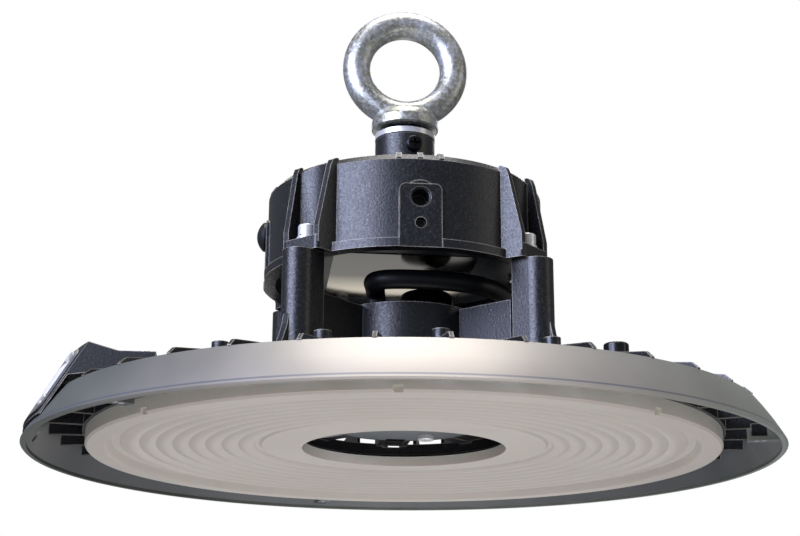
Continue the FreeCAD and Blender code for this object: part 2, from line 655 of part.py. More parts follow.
def make_heat_sink():
    """The cast head: plate, fins, bosses, hub, webs, duct and pillars in one piece."""
    fin = front_prism(fin_profile(), FIN_THICKNESS)
    boss = disc(BOARD_BOSS_RADIUS, PLATE_TOP - 1.0, BOARD_BOSS_TOP, (0, -BOARD_SCREW_CIRCLE))
    vent_place = polar(VENT_CIRCLE, VENT_ANGLE)
    vent_boss = disc(VENT_BOSS_RADIUS, PLATE_TOP - 1.0, VENT_BOSS_TOP,
                     (vent_place.x, vent_place.y))
    web = front_block(HUB_RADIUS - HUB_WALL / 2, PILLAR_INNER_RADIUS + 1.0, WEB_WIDTH / 2,
                      PLATE_TOP - 1.0, WEB_TOP)
    notch = front_block(PILLAR_INNER_RADIUS - WEB_NOTCH_WIDTH, PILLAR_INNER_RADIUS,
                        WEB_WIDTH / 2 + EPS, WEB_TOP - WEB_NOTCH_DEPTH, WEB_TOP + EPS)
    web = web.cut(notch)
    lug_pad = front_block(LUG_INNER_RADIUS + LUG_THICKNESS + SLIP_GAP,
                          skirt_radius(LUG_PAD_TOP) - RIM_WALL - SEAT_GAP,
                          LUG_PAD_WIDTH / 2, LUG_BOTTOM + LUG_THICKNESS, LUG_PAD_TOP)
    bracket_post = disc(BRACKET_POST_RADIUS, PLATE_TOP - 1.0,
                        bracket_panel_top() - BRACKET_WALL, (0, -BRACKET_SCREW_CIRCLE))
    body = fuse([base_plate()]
                + around(fin, FIN_COUNT)
                + around(boss, BOARD_BOSS_COUNT)
                + [vent_boss]
                + around(web, PILLAR_COUNT, PILLAR_FIRST_ANGLE)
                + around(make_pillar(), PILLAR_COUNT, PILLAR_FIRST_ANGLE)
                + [turn(lug_pad, a) for a in LUG_ANGLES]
                + [turn(bracket_post, a) for a in BRACKET_SCREW_ANGLES]
                + [make_duct(), hub_shell()])
    tools = list(duct_passage())
    tools += around(blind_hole(BOARD_SCREW_RADIUS + THREAD_GAP, BOARD_SCREW_LENGTH,
                               POCKET_BOTTOM, (0, -BOARD_SCREW_CIRCLE)), BOARD_BOSS_COUNT)
    tools += around(disc(BOSS_DIMPLE_RADIUS, BOARD_BOSS_TOP - BOSS_DIMPLE_DEPTH,
                         BOARD_BOSS_TOP + EPS, (0, -BOARD_SCREW_CIRCLE)), BOARD_BOSS_COUNT)
    tools.append(disc(VENT_STEM_RADIUS + THREAD_GAP, POCKET_BOTTOM - EPS, VENT_BOSS_TOP + EPS,
                      (vent_place.x, vent_place.y)))
    bolt_hole = disc(BOLT_RADIUS + THREAD_GAP, PILLAR_TOP - bolt_reach() - 2.0,
                     PILLAR_TOP + EPS, (0, -BOLT_CIRCLE))
    tools += around(bolt_hole, PILLAR_COUNT, PILLAR_FIRST_ANGLE)
    post_hole = blind_hole(COVER_SCREW_RADIUS + THREAD_GAP, COVER_SCREW_LENGTH,
                           cover_seal_top(), (0, -COVER_SCREW_CIRCLE))
    tools += [turn(post_hole, a) for a in COVER_SCREW_ANGLES]
    tools += [turn(blind_hole(LUG_SCREW_RADIUS + THREAD_GAP, LUG_SCREW_LENGTH,
                              LUG_BOTTOM + LUG_THICKNESS, (0, -r)), a)
              for a in LUG_ANGLES for r in LUG_SCREW_RADII]
    bracket_hole = disc(BRACKET_SCREW_RADIUS + THREAD_GAP,
                        bracket_panel_top() - BRACKET_SCREW_LENGTH - 1.0, LABEL_TOP,
                        (0, -BRACKET_SCREW_CIRCLE))
    tools += [turn(bracket_hole, a) for a in BRACKET_SCREW_ANGLES]
    tools.append(disc(DOME_STEM_RADIUS + THREAD_GAP, HUB_TOP - HUB_ROOF - EPS, HUB_TOP + EPS,
                      DOME_PLACE))
    tools.append(disc(GLAND_BODY_RADIUS + THREAD_GAP, HUB_TOP - HUB_ROOF - EPS, HUB_TOP + EPS,
                      HUB_GLAND_PLACE))
    return cut(body, tools)


def bolt_reach():
    """How far a pillar bolt goes into the pillar."""
    stack = LUG_PLATE_HEIGHT + FLAT_WASHER[1] + SPRING_WASHER[1]
    return BOLT_LENGTH - stack


def make_vent_plug():
    """A push-in breather with a ribbed cap."""
    place = polar(VENT_CIRCLE, VENT_ANGLE)
    cap = disc(VENT_RADIUS, VENT_BOSS_TOP, VENT_TOP)
    top = [e for e in cap.Edges if abs(e.BoundBox.ZMin - VENT_TOP) < 1e-6]
    cap = cap.makeFillet(0.9, top)
    stem = disc(VENT_STEM_RADIUS, VENT_BOSS_TOP - VENT_STEM_LENGTH, VENT_BOSS_TOP)
    plug = fuse([cap, stem])
    groove = front_block(VENT_RADIUS - VENT_GROOVE, VENT_RADIUS + EPS, VENT_GROOVE,
                         VENT_BOSS_TOP + 0.8, VENT_TOP - 1.2)
    plug = cut(plug, around(groove, VENT_GROOVE_COUNT))
    return moved(plug, (place.x, place.y))


def make_led_board():
    """The ring-shaped metal-core board under the plate."""
    bottom = POCKET_BOTTOM - BOARD_THICKNESS
    board = tube(BOARD_OUTER_RADIUS, BOARD_INNER_RADIUS, bottom, POCKET_BOTTOM)
    hole = disc(BOARD_SCREW_RADIUS + THREAD_GAP, bottom - EPS, POCKET_BOTTOM + EPS,
                (0, -BOARD_SCREW_CIRCLE))
    wire_slot = front_block(BOARD_INNER_RADIUS - 1.0, BOARD_INNER_RADIUS + 3.0,
                            DUCT_WIDTH / 2 - DUCT_WALL, bottom - EPS, POCKET_BOTTOM + EPS)
    vent_place = polar(VENT_CIRCLE, VENT_ANGLE)
    breather = disc(VENT_STEM_RADIUS, bottom - EPS, POCKET_BOTTOM + EPS,
                    (vent_place.x, vent_place.y))
    return cut(board, around(hole, BOARD_BOSS_COUNT) + [turn(wire_slot, DUCT_ANGLE), breather])


def make_led_packages():
    """The LED packages, in rings on the board's lower face."""
    top = POCKET_BOTTOM - BOARD_THICKNESS
    half = LED_SIZE / 2
    packages = []
    step = (LED_LAST_RADIUS - LED_FIRST_RADIUS) / (len(LED_COUNTS) - 1)
    for ring, count in enumerate(LED_COUNTS):
        radius = LED_FIRST_RADIUS + ring * step
        one = block(-half, half, -radius - half, -radius + half, top - LED_HEIGHT, top)
        clear = VENT_STEM_RADIUS + LED_SIZE
        vent_place = polar(VENT_CIRCLE, VENT_ANGLE)
        packages += [p for p in around(one, count, 180.0 / count)
                     if math.hypot(p.CenterOfMass.x - vent_place.x,
                                   p.CenterOfMass.y - vent_place.y) > clear]
    return packages


def make_board_screws():
    """The screws that hold the LED board up against the plate."""
    face = POCKET_BOTTOM - BOARD_THICKNESS
    length = BOARD_THICKNESS + BOARD_SCREW_LENGTH - 1.0
    screw = screw_up(BOARD_SCREW_RADIUS, length, BOARD_HEAD_RADIUS, BOARD_HEAD_HEIGHT, face)
    return around(moved(screw, (0, -BOARD_SCREW_CIRCLE)), BOARD_BOSS_COUNT)


def make_lens():
    """The moulded lens ring: flange, side wall, groove, ridges and inner lip."""
    ridge_low, ridge_high = LENS_RIDGE_RADII
    pitch = (ridge_high - ridge_low) / LENS_RIDGE_COUNT
    drop = (LENS_RIDGE_INNER_Z - LENS_RIDGE_OUTER_Z) / LENS_RIDGE_COUNT
    border = ridge_low - 3.0
    valleys = [(ridge_low + i * pitch, LENS_RIDGE_INNER_Z - i * drop)
               for i in range(LENS_RIDGE_COUNT + 1)]
    edges = [line((LENS_HOLE_RADIUS, LENS_LIP_BOTTOM), (border, LENS_RIDGE_INNER_Z)),
             arc((border, LENS_RIDGE_INNER_Z),
                 (border + 1.5, LENS_RIDGE_INNER_Z + LENS_RIDGE_DEPTH), valleys[0])]
    for a, b in zip(valleys, valleys[1:]):
        crest = ((a[0] + b[0]) / 2, (a[1] + b[1]) / 2 - LENS_RIDGE_DEPTH)
        edges.append(arc(a, crest, b))
    seal_low, seal_high = OUTER_SEAL_RADII
    inner_low, inner_high = INNER_SEAL_RADII
    web_top = LENS_BOTTOM + LENS_THICKNESS
    wall = LENS_RADIUS - LENS_SIDE_WALL
    groove_in, groove_out = LENS_GROOVE_RADII
    corner = 0.9
    outline = [
        valleys[-1],
        (groove_in, LENS_GROOVE_BOTTOM),
        (groove_out, LENS_GROOVE_BOTTOM),
        (LENS_FLANGE_INNER_RADIUS - 0.8, LENS_BOTTOM + 0.8),
        (LENS_FLANGE_INNER_RADIUS, LENS_BOTTOM),
        (LENS_RADIUS - corner, LENS_BOTTOM),
        (LENS_RADIUS, LENS_BOTTOM + corner),
        (LENS_RADIUS, OUTER_LAND_BOTTOM),
        (wall, OUTER_LAND_BOTTOM),
        (wall, web_top),
        (seal_high, web_top),
        (seal_high, OUTER_LAND_BOTTOM - OUTER_SEAL_HEIGHT),
        (seal_low, OUTER_LAND_BOTTOM - OUTER_SEAL_HEIGHT),
        (seal_low, LENS_GROOVE_BOTTOM),
        (groove_out, LENS_GROOVE_BOTTOM + LENS_THICKNESS),
        (groove_in, LENS_GROOVE_BOTTOM + LENS_THICKNESS),
        (ridge_low, LENS_RIDGE_INNER_Z + LENS_THICKNESS),
        (inner_high, LENS_RIDGE_INNER_Z + LENS_THICKNESS),
        (inner_high, INNER_LAND_BOTTOM - INNER_SEAL_HEIGHT),
        (inner_low, INNER_LAND_BOTTOM - INNER_SEAL_HEIGHT),
        (inner_low, LENS_LIP_BOTTOM + LENS_THICKNESS),
        (LENS_HOLE_RADIUS + LENS_LIP_WALL, LENS_LIP_BOTTOM + LENS_THICKNESS),
        (LENS_HOLE_RADIUS + LENS_LIP_WALL, LENS_LIP_TOP),
        (LENS_HOLE_RADIUS, LENS_LIP_TOP),
        (LENS_HOLE_RADIUS, LENS_LIP_BOTTOM),
    ]
    edges += [line(a, b) for a, b in zip(outline, outline[1:])]
    notch = front_block(LENS_RADIUS - LENS_NOTCH_DEPTH, LENS_RADIUS + EPS,
                        LENS_NOTCH_WIDTH / 2, LENS_BOTTOM - EPS, LENS_BOTTOM + 2.4)
    return cut(lathe(edges), around(notch, LENS_NOTCH_COUNT, LENS_NOTCH_FIRST_ANGLE))


def make_lens_outer_seal():
    """The seal between the lens and the plate's outer land."""
    low, high = OUTER_SEAL_RADII
    return tube(high, low, OUTER_LAND_BOTTOM - OUTER_SEAL_HEIGHT, OUTER_LAND_BOTTOM)


def make_lens_inner_seal():
    """The seal between the lens and the plate's inner land."""
    low, high = INNER_SEAL_RADII
    return tube(high, low, INNER_LAND_BOTTOM - INNER_SEAL_HEIGHT, INNER_LAND_BOTTOM)


def make_hub_cover():
    """The plate that closes the hub from below."""
    cover = disc(cover_radius(), HUB_BOTTOM, HUB_BOTTOM + COVER_THICKNESS)
    hole = disc(COVER_SCREW_RADIUS + THREAD_GAP, HUB_BOTTOM - EPS, cover_seal_top(),
                (0, -COVER_SCREW_CIRCLE))
    return cut(cover, [turn(hole, a) for a in COVER_SCREW_ANGLES] + [duct_clearance()])


def duct_clearance():
    """The duct's mouth, which the hub cover and its seal leave open."""
    mouth = front_block(HUB_RADIUS - HUB_WALL - 1.0, HUB_RADIUS, DUCT_WIDTH / 2 - DUCT_WALL,
                        HUB_BOTTOM - EPS, cover_seal_top() + EPS)
    return turn(mouth, DUCT_ANGLE)


def make_hub_seal():
    """The hub cover's flat seal, with eyes round the three screws."""
    low = HUB_BOTTOM + COVER_THICKNESS
    high = cover_seal_top()
    ring = tube(cover_radius(), COVER_SCREW_CIRCLE + COVER_POST_RADIUS - 1.0, low, high)
    eye = disc(COVER_POST_RADIUS, low, high, (0, -COVER_SCREW_CIRCLE))
    hole = disc(COVER_SCREW_RADIUS + THREAD_GAP, low - EPS, high + EPS,
                (0, -COVER_SCREW_CIRCLE))
    ring = fuse([ring] + [turn(eye, a) for a in COVER_SCREW_ANGLES])
    return cut(ring, [turn(hole, a) for a in COVER_SCREW_ANGLES] + [duct_clearance()])


def make_hub_cover_screws():
    """Three pan head screws under the hub."""
    length = COVER_THICKNESS + COVER_SEAL_HEIGHT + COVER_SCREW_LENGTH - 1.0
    screw = screw_up(COVER_SCREW_RADIUS, length, COVER_HEAD_RADIUS, COVER_HEAD_HEIGHT,
                     HUB_BOTTOM)
    placed = moved(screw, (0, -COVER_SCREW_CIRCLE))
    return [turn(placed, a) for a in COVER_SCREW_ANGLES]


def make_duct_cover():
    """The strip that closes the wire duct from below, over the air hole."""
    low = DUCT_BOTTOM
    half = DUCT_WIDTH / 2 - DUCT_WALL - SLIP_GAP
    strip = front_block(HUB_RADIUS + SEAT_GAP, AIR_HOLE_RADIUS - SEAT_GAP, half, low, low + 1.2)
    block_up = front_block(HUB_RADIUS + 3.0, AIR_HOLE_RADIUS - 3.0, half, low + 1.2,
                           DUCT_TOP - DUCT_WALL)
    return turn(fuse([strip, block_up]), DUCT_ANGLE)


def make_hub_plug():
    """The fluted blanking plug in the hub's roof."""
    dome = disc(DOME_RADIUS, HUB_TOP, DOME_TOP)
    top = [e for e in dome.Edges if abs(e.BoundBox.ZMin - DOME_TOP) < 1e-6]
    dome = dome.makeFillet(DOME_SHOULDER, top)
    flute = front_block(DOME_RADIUS - DOME_FLUTE_DEPTH, DOME_RADIUS + EPS, DOME_FLUTE_DEPTH,
                        HUB_TOP + 1.2, DOME_TOP - DOME_SHOULDER)
    dome = cut(dome, around(flute, DOME_FLUTE_COUNT))
    stem = disc(DOME_STEM_RADIUS, HUB_TOP - HUB_ROOF - DOME_NUT_HEIGHT - 1.0, HUB_TOP)
    return moved(fuse([dome, stem]), DOME_PLACE)


def hexagon(flats_radius, z0, z1):
    """A six-sided prism on the axis, by the radius of its inscribed circle."""
    corner = flats_radius / math.cos(math.pi / 6)
    ring = [V(corner * math.cos(i * math.pi / 3), corner * math.sin(i * math.pi / 3), z0)
            for i in range(6)]
    return Part.Face(Part.makePolygon(ring + ring[:1])).extrude(V(0, 0, z1 - z0))


def make_hub_plug_nut():
    """The nut that draws the domed plug down, inside the hub."""
    top = HUB_TOP - HUB_ROOF
    nut = hexagon(DOME_NUT_RADIUS, top - DOME_NUT_HEIGHT, top)
    nut = nut.cut(disc(DOME_STEM_RADIUS + THREAD_GAP, top - DOME_NUT_HEIGHT - EPS, top + EPS))
    return moved(nut, DOME_PLACE)


def gland_solids(face_z, roof, side):
    """A lead gland's grommet and nut; side is 1 when the lead leaves it upwards."""
    bore = LEAD_RADIUS + THREAD_GAP
    outside = sorted((face_z, face_z + side * GLAND_FLANGE_HEIGHT))
    inner_end = face_z - side * (roof + GLAND_NUT_HEIGHT + 1.0)
    body = sorted((face_z, inner_end))
    grommet = fuse([disc(GLAND_FLANGE_RADIUS, *outside), disc(GLAND_BODY_RADIUS, *body)])
    grommet = grommet.cut(disc(bore, min(outside[0], body[0]) - EPS,
                               max(outside[1], body[1]) + EPS))
    nut_face = face_z - side * roof
    span = sorted((nut_face, nut_face - side * GLAND_NUT_HEIGHT))
    nut = hexagon(GLAND_NUT_RADIUS, *span)
    nut = nut.cut(disc(GLAND_BODY_RADIUS + THREAD_GAP, span[0] - EPS, span[1] + EPS))
    return grommet, nut


def lead_path():
    """The lead's straight runs and tangent arcs, as (kind, data) steps."""
    points = [V(*p) for p in LEAD_ROUTE]
    steps = []
    start = points[0]
    for a, b, c in zip(points, points[1:], points[2:]):
        before = (b - a).normalize()
        after = (c - b).normalize()
        turn_angle = before.getAngle(after)
        reach = 0.45 * min((b - a).Length, (c - b).Length)
        radius = reach / math.tan(turn_angle / 2)
        enter = b - before * reach
        leave = b + after * reach
        axis = before.cross(after).normalize()
        centre = enter + axis.cross(before) * radius
        steps.append(("run", start, enter))
        steps.append(("bend", enter, before, centre, axis, turn_angle, radius))
        start = leave
    steps.append(("run", start, points[-1]))
    return steps


def make_led_lead():
    """The lead's solid: a cylinder for each run and a turned disc for each bend."""
    solids = []
    length = 0.0
    for step in lead_path():
        if step[0] == "run":
            _, start, end = step
            run = end - start
            solids.append(Part.makeCylinder(LEAD_RADIUS, run.Length, start, run))
            length += run.Length
        else:
            _, enter, along, centre, axis, turn_angle, radius = step
            circle = Part.Wire(Part.makeCircle(LEAD_RADIUS, enter, along))
            degrees = math.degrees(turn_angle)
            solids.append(Part.Face(circle).revolve(centre, axis, degrees))
            length += radius * turn_angle
            print("lead bend radius", round(radius, 1))
    lead = fuse(solids)
    section = math.pi * LEAD_RADIUS ** 2
    print("lead length", round(length, 1), "volume share", round(lead.Volume / section / length, 4))
    return lead


def pad_body():
    """A flat pad on the drum's wall, with round upper corners, and its inner boss."""
    low = DRUM_RADIUS - DRUM_WALL / 2
    pad = front_block(low, PAD_FACE, PAD_HALF_WIDTH, DRUM_BOTTOM, PAD_TOP)
    corners = [e for e in pad.Edges
               if abs(e.BoundBox.ZMin - PAD_TOP) < 1e-6 and e.BoundBox.YLength > 0.1]
    pad = pad.makeFillet(PAD_CORNER, corners)
    boss = Part.makeCylinder(BRACKET_BOSS_RADIUS, BRACKET_HOLE_DEPTH + 2.0,
                             V(0, -PAD_FACE + 0.5, BRACKET_HOLE_HEIGHT), V(0, 1, 0))
    return fuse([pad, boss])


def pad_holes():
    """A pad's M8 hole with its chamfer, and the small hole under it."""
    face = V(0, -PAD_FACE, BRACKET_HOLE_HEIGHT)
    inwards = V(0, 1, 0)
    big = Part.makeCylinder(BRACKET_HOLE_RADIUS, BRACKET_HOLE_DEPTH, face, inwards)
    mouth = Part.makeCone(BRACKET_HOLE_RADIUS + BRACKET_HOLE_CHAMFER, BRACKET_HOLE_RADIUS,
                          BRACKET_HOLE_CHAMFER, face, inwards)
    small = Part.makeCylinder(PIN_HOLE_RADIUS, PIN_HOLE_DEPTH,
                              V(0, -PAD_FACE, PIN_HOLE_HEIGHT), inwards)
    return [fuse([big, mouth]), small]


def lug_plan(side=0, z0=0.0, z1=1.0):
    """The lug's splayed plan as an upright prism: all of it, or one gusset's strip."""
    near = DRUM_RADIUS - DRUM_WALL / 2
    wide, narrow = LUG_HALF_WIDTHS
    inner = [side * (wide - GUSSET_THICKNESS), side * (narrow - GUSSET_THICKNESS)]
    if side == 0:
        inner = [-wide, -narrow]
    outer = [wide, narrow]
    if side < 0:
        outer = [-wide, -narrow]
    corners = [V(inner[0], -near, z0), V(outer[0], -near, z0),
               V(outer[1], -LUG_PLATE_RADIUS, z0), V(inner[1], -LUG_PLATE_RADIUS, z0)]
    face = Part.Face(Part.makePolygon(corners + corners[:1]))
    return face.extrude(V(0, 0, z1 - z0))


def drum_lug():
    """A foot of the drum: its plate and two gussets, at the front."""
    inner = DRUM_RADIUS - DRUM_WALL / 2
    seat = DRUM_BOTTOM + LUG_PLATE_HEIGHT
    plate = lug_plan(0, DRUM_BOTTOM, seat)
    corners = [e for e in plate.Edges
               if e.BoundBox.ZLength > 1.0 and abs(e.BoundBox.YMin + LUG_PLATE_RADIUS) < 1e-6]
    plate = plate.makeFillet(2.0, corners)
    outline = [
        (inner, seat - LUG_PLATE_HEIGHT / 2),
        (LUG_PLATE_RADIUS - 0.6, seat - LUG_PLATE_HEIGHT / 2),
        (LUG_PLATE_RADIUS - 0.6, seat + 4.0),
    ]
    outline += [(DRUM_RADIUS + out, DRUM_TOP - down) for out, down in reversed(GUSSET_SHOULDERS)]
    outline.append((inner, DRUM_TOP))
    slope = front_prism(outline, 2 * LUG_HALF_WIDTHS[0] + 2.0)
    gussets = [lug_plan(side, DRUM_BOTTOM + 1.0, DRUM_TOP + 1.0).common(slope) for side in (-1, 1)]
    hole = disc(BOLT_RADIUS + BOLT_HOLE_GAP, DRUM_BOTTOM - EPS, seat + EPS, (0, -BOLT_CIRCLE))
    scoop = disc(SCOOP_RADIUS, seat, DRUM_TOP + EPS,
                 (0, -(DRUM_RADIUS - SCOOP_DEPTH + SCOOP_RADIUS)))
    return fuse([plate] + gussets), hole, scoop


def drum_inner_radius():
    """The drum's inside radius under the shoulder that the base seals against."""
    return DRUM_RADIUS - DRUM_WALL


def base_seal_top():
    """Top of the base's seal, at the shoulder."""
    return BASE_BOTTOM + BASE_THICKNESS + BASE_SEAL_HEIGHT


def roof_rib():
    """A rib on the drum's roof that runs out and down over the bevel."""
    bevel_width, bevel_height = DRUM_BEVEL
    shoulder = DRUM_TOP - bevel_height
    face = DRUM_RADIUS - 0.1
    return front_prism([
        (DRUM_RADIUS - ROOF_RIB_INSET, DRUM_TOP - 1.0),
        (DRUM_RADIUS - ROOF_RIB_INSET, DRUM_TOP + ROOF_RIB_HEIGHT),
        (DRUM_RADIUS - bevel_width + ROOF_RIB_HEIGHT / 2, DRUM_TOP + ROOF_RIB_HEIGHT),
        (face, shoulder + ROOF_RIB_HEIGHT),
        (face, shoulder - EPS),
        (face - bevel_width, shoulder - EPS),
    ], ROOF_RIB_WIDTH)


def make_driver_housing():
    """The cast drum with its neck, feet, pads and inner posts, open below."""
    bevel_width, bevel_height = DRUM_BEVEL
    wall = lathe_points([
        (0, DRUM_BOTTOM),
        (DRUM_RADIUS, DRUM_BOTTOM),
        (DRUM_RADIUS, DRUM_TOP - bevel_height),
        (DRUM_RADIUS - bevel_width, DRUM_TOP),
        (0, DRUM_TOP),
    ])
    flange = disc(DRUM_FLANGE_RADIUS, DRUM_BOTTOM, DRUM_BOTTOM + DRUM_FLANGE_HEIGHT)
    cavity = fuse([
        disc(drum_inner_radius(), DRUM_BOTTOM - EPS, base_seal_top()),
        disc(drum_inner_radius() - DRUM_SHOULDER, base_seal_top() - EPS, DRUM_TOP - DRUM_ROOF),
    ])
    neck = lathe([
        line((0, DRUM_TOP - DRUM_ROOF / 2), (NECK_RADIUS + NECK_FILLET, DRUM_TOP - DRUM_ROOF / 2)),
        line((NECK_RADIUS + NECK_FILLET, DRUM_TOP - DRUM_ROOF / 2),
             (NECK_RADIUS + NECK_FILLET, DRUM_TOP)),
        arc((NECK_RADIUS + NECK_FILLET, DRUM_TOP),
            (NECK_RADIUS + NECK_FILLET * 0.293, DRUM_TOP + NECK_FILLET * 0.293),
            (NECK_RADIUS, DRUM_TOP + NECK_FILLET)),
        line((NECK_RADIUS, DRUM_TOP + NECK_FILLET), (NECK_RADIUS, NECK_TOP - 0.5)),
        line((NECK_RADIUS, NECK_TOP - 0.5), (NECK_RADIUS - 0.5, NECK_TOP)),
        line((NECK_RADIUS - 0.5, NECK_TOP), (0, NECK_TOP)),
        line((0, NECK_TOP), (0, DRUM_TOP - DRUM_ROOF / 2)),
    ])
    ribs = [turn(roof_rib(), a + k * ROOF_RIB_SPACING) for a in PAD_ANGLES for k in (-1, 0, 1)]
    post = disc(BASE_POST_RADIUS, BASE_BOTTOM + BASE_THICKNESS, DRUM_TOP - DRUM_ROOF / 2,
                (0, -BASE_SCREW_CIRCLE))
    posts = around(post, BASE_SCREW_COUNT, BASE_SCREW_FIRST_ANGLE)
    lug, bolt_hole, scoop = drum_lug()
    pad_gap = front_block(PAD_FACE, DRUM_FLANGE_RADIUS + EPS, PAD_HALF_WIDTH,
                          DRUM_BOTTOM - EPS, DRUM_BOTTOM + DRUM_FLANGE_HEIGHT + EPS)
    flange = cut(flange, [turn(pad_gap, a) for a in PAD_ANGLES])
    wall = cut(fuse([wall, flange]), around(scoop, PILLAR_COUNT, PILLAR_FIRST_ANGLE))
    outside = fuse([wall]
                   + around(lug, PILLAR_COUNT, PILLAR_FIRST_ANGLE)
                   + [turn(pad_body(), a) for a in PAD_ANGLES])
    shell = outside.cut(cavity)
    bosses = [turn(pad_boss(), a) for a in PAD_ANGLES]
    body = fuse([shell, neck] + ribs + posts + bosses + pcb_standoffs())
    tools = [turn(t, a) for a in PAD_ANGLES for t in pad_holes()]
    tools += around(bolt_hole, PILLAR_COUNT, PILLAR_FIRST_ANGLE)
    post_hole = blind_hole(BASE_SCREW_RADIUS + THREAD_GAP, BASE_SCREW_LENGTH,
                           BASE_BOTTOM + BASE_THICKNESS, (0, -BASE_SCREW_CIRCLE))
    tools += around(post_hole, BASE_SCREW_COUNT, BASE_SCREW_FIRST_ANGLE)
    tools.append(disc(EYE_THREAD_RADIUS + THREAD_GAP, NECK_TOP - NECK_BORE_DEPTH, NECK_TOP + EPS))
    set_hole = Part.makeCylinder(SET_SCREW_RADIUS + THREAD_GAP, NECK_RADIUS + 5.0,
                                 V(0, 0, SET_SCREW_HEIGHT), V(0, -1, 0))
    tools.append(turn(set_hole, SET_SCREW_ANGLE))
    return cut(body, tools)


def pad_boss():
    """The boss behind a pad's M8 hole, inside the drum."""
    depth = BRACKET_HOLE_DEPTH + 2.0
    return Part.makeCylinder(BRACKET_BOSS_RADIUS, depth,
                             V(0, -PAD_FACE + 0.5, BRACKET_HOLE_HEIGHT), V(0, 1, 0))


def pcb_top():
    """Upper face of the driver's board, where the standoffs from the roof end."""
    return DRUM_TOP - DRUM_ROOF - PCB_STANDOFF


def pcb_standoffs():
    """Four posts under the drum's roof that the driver's board is screwed to."""
    post = disc(PCB_STANDOFF_RADIUS, pcb_top(), DRUM_TOP - DRUM_ROOF / 2,
                (0, -PCB_STANDOFF_CIRCLE))
    return [turn(post, a) for a in PCB_STANDOFF_ANGLES]


def make_side_plug():
    """The domed rubber plug in the left pad's M8 hole."""
    dome_height = SIDE_PLUG_DOME
    crown = dome_height - SIDE_PLUG_EDGE
    sphere_radius = (SIDE_PLUG_RADIUS ** 2 + crown ** 2) / (2 * crown)
    ball = Part.makeSphere(sphere_radius, V(0, 0, dome_height - sphere_radius))
    dome = disc(SIDE_PLUG_RADIUS, 0, dome_height).common(ball)
    stem = disc(BRACKET_HOLE_RADIUS - SLIP_GAP, -SIDE_PLUG_STEM_LENGTH, EPS)
    plug = fuse([dome, stem])
    plug.rotate(V(0, 0, 0), V(1, 0, 0), 90)
    plug.translate(V(0, -PAD_FACE, BRACKET_HOLE_HEIGHT))
    return turn(plug, SIDE_PLUG_ANGLE)


def make_driver_base():
    """The plate that closes the drum from below."""
    radius = drum_inner_radius() - SLIP_GAP
    plate = disc(radius, BASE_BOTTOM, BASE_BOTTOM + BASE_THICKNESS)
    hole = disc(BASE_SCREW_RADIUS + THREAD_GAP, BASE_BOTTOM - EPS,
                BASE_BOTTOM + BASE_THICKNESS + EPS, (0, -BASE_SCREW_CIRCLE))
    gland_hole = disc(GLAND_BODY_RADIUS + THREAD_GAP, BASE_BOTTOM - EPS,
                      BASE_BOTTOM + BASE_THICKNESS + EPS, DRUM_GLAND_PLACE)
    return cut(plate, around(hole, BASE_SCREW_COUNT, BASE_SCREW_FIRST_ANGLE) + [gland_hole])


def make_base_seal():
    """The drum's seal, between the base plate and the shoulder in the wall."""
    outer = drum_inner_radius() - SLIP_GAP
    return tube(outer, outer - DRUM_SHOULDER, BASE_BOTTOM + BASE_THICKNESS, base_seal_top())


def make_base_screws():
    """Six pan head screws in the drum's base."""
    screw = screw_up(BASE_SCREW_RADIUS, BASE_THICKNESS + BASE_SCREW_LENGTH - 1.0,
                     BASE_HEAD_RADIUS, BASE_HEAD_HEIGHT, BASE_BOTTOM)
    return around(moved(screw, (0, -BASE_SCREW_CIRCLE)), BASE_SCREW_COUNT,
                  BASE_SCREW_FIRST_ANGLE)


def make_base_label():
    """The bare silver label under the drum."""
    width, depth = BASE_LABEL_SIZE
    x, y = BASE_LABEL_CENTRE
    sheet = block(x - width / 2, x + width / 2, y - depth / 2, y + depth / 2,
                  BASE_BOTTOM - BASE_LABEL_THICKNESS, BASE_BOTTOM)
    corners = [e for e in sheet.Edges if e.BoundBox.ZLength > BASE_LABEL_THICKNESS / 2]
    sheet = sheet.makeFillet(BASE_LABEL_CORNER, corners)
    clearance = disc(GLAND_FLANGE_RADIUS + 1.0, BASE_BOTTOM - 1.0, BASE_BOTTOM + EPS,
                     DRUM_GLAND_PLACE)
    return sheet.cut(clearance)


def make_driver_board():
    """The driver's circuit board."""
    low = pcb_top() - PCB_THICKNESS
    return disc(PCB_RADIUS, low, pcb_top())


def under_board(height):
    """Bottom and top of a component of this height, hung under the driver's board."""
    top = pcb_top() - PCB_THICKNESS
    return top - height, top


def make_transformer():
    """The driver's wound transformer: a core round a coil."""
    width, depth, height = CORE_SIZE
    low, high = under_board(height)
    core = centred_block(width, depth, low, high)
    inside = width - 2 * CORE_LIMB + 1.0
    window = centred_block(inside, depth + 2 * EPS, low + CORE_LIMB, high - CORE_LIMB)
    coil = centred_block(inside, COIL_DEPTH, low + CORE_LIMB, high - CORE_LIMB)
    limb = centred_block(inside, 2 * CORE_LIMB, low, high)
    return moved(fuse([core.cut(window), coil, limb]), CORE_PLACE)


def make_capacitors():
    """Two electrolytic capacitors and two film ones, under the board."""
    low, high = under_board(CAN_HEIGHT)
    cans = [disc(CAN_RADIUS, low, high, place) for place in CAN_PLACES]
    width, depth, height = FILM_SIZE
    low, high = under_board(height)
    films = [moved(centred_block(width, depth, low, high), place) for place in FILM_PLACES]
    return cans + films


def make_choke():
    """The driver's ring choke."""
    low, high = under_board(CHOKE_HEIGHT)
    return tube(*CHOKE_RADII, low, high, CHOKE_PLACE)


def make_terminal_block():
    """The driver's terminal block."""
    width, depth, height = TERMINAL_SIZE
    low, high = under_board(height)
    body = centred_block(width, depth, low, high)
    slots = [disc(TERMINAL_SCREW_RADIUS, low - EPS, low + height / 2, (x, 0))
             for x in (-TERMINAL_PITCH, 0, TERMINAL_PITCH)]
    return moved(cut(body, slots), TERMINAL_PLACE)


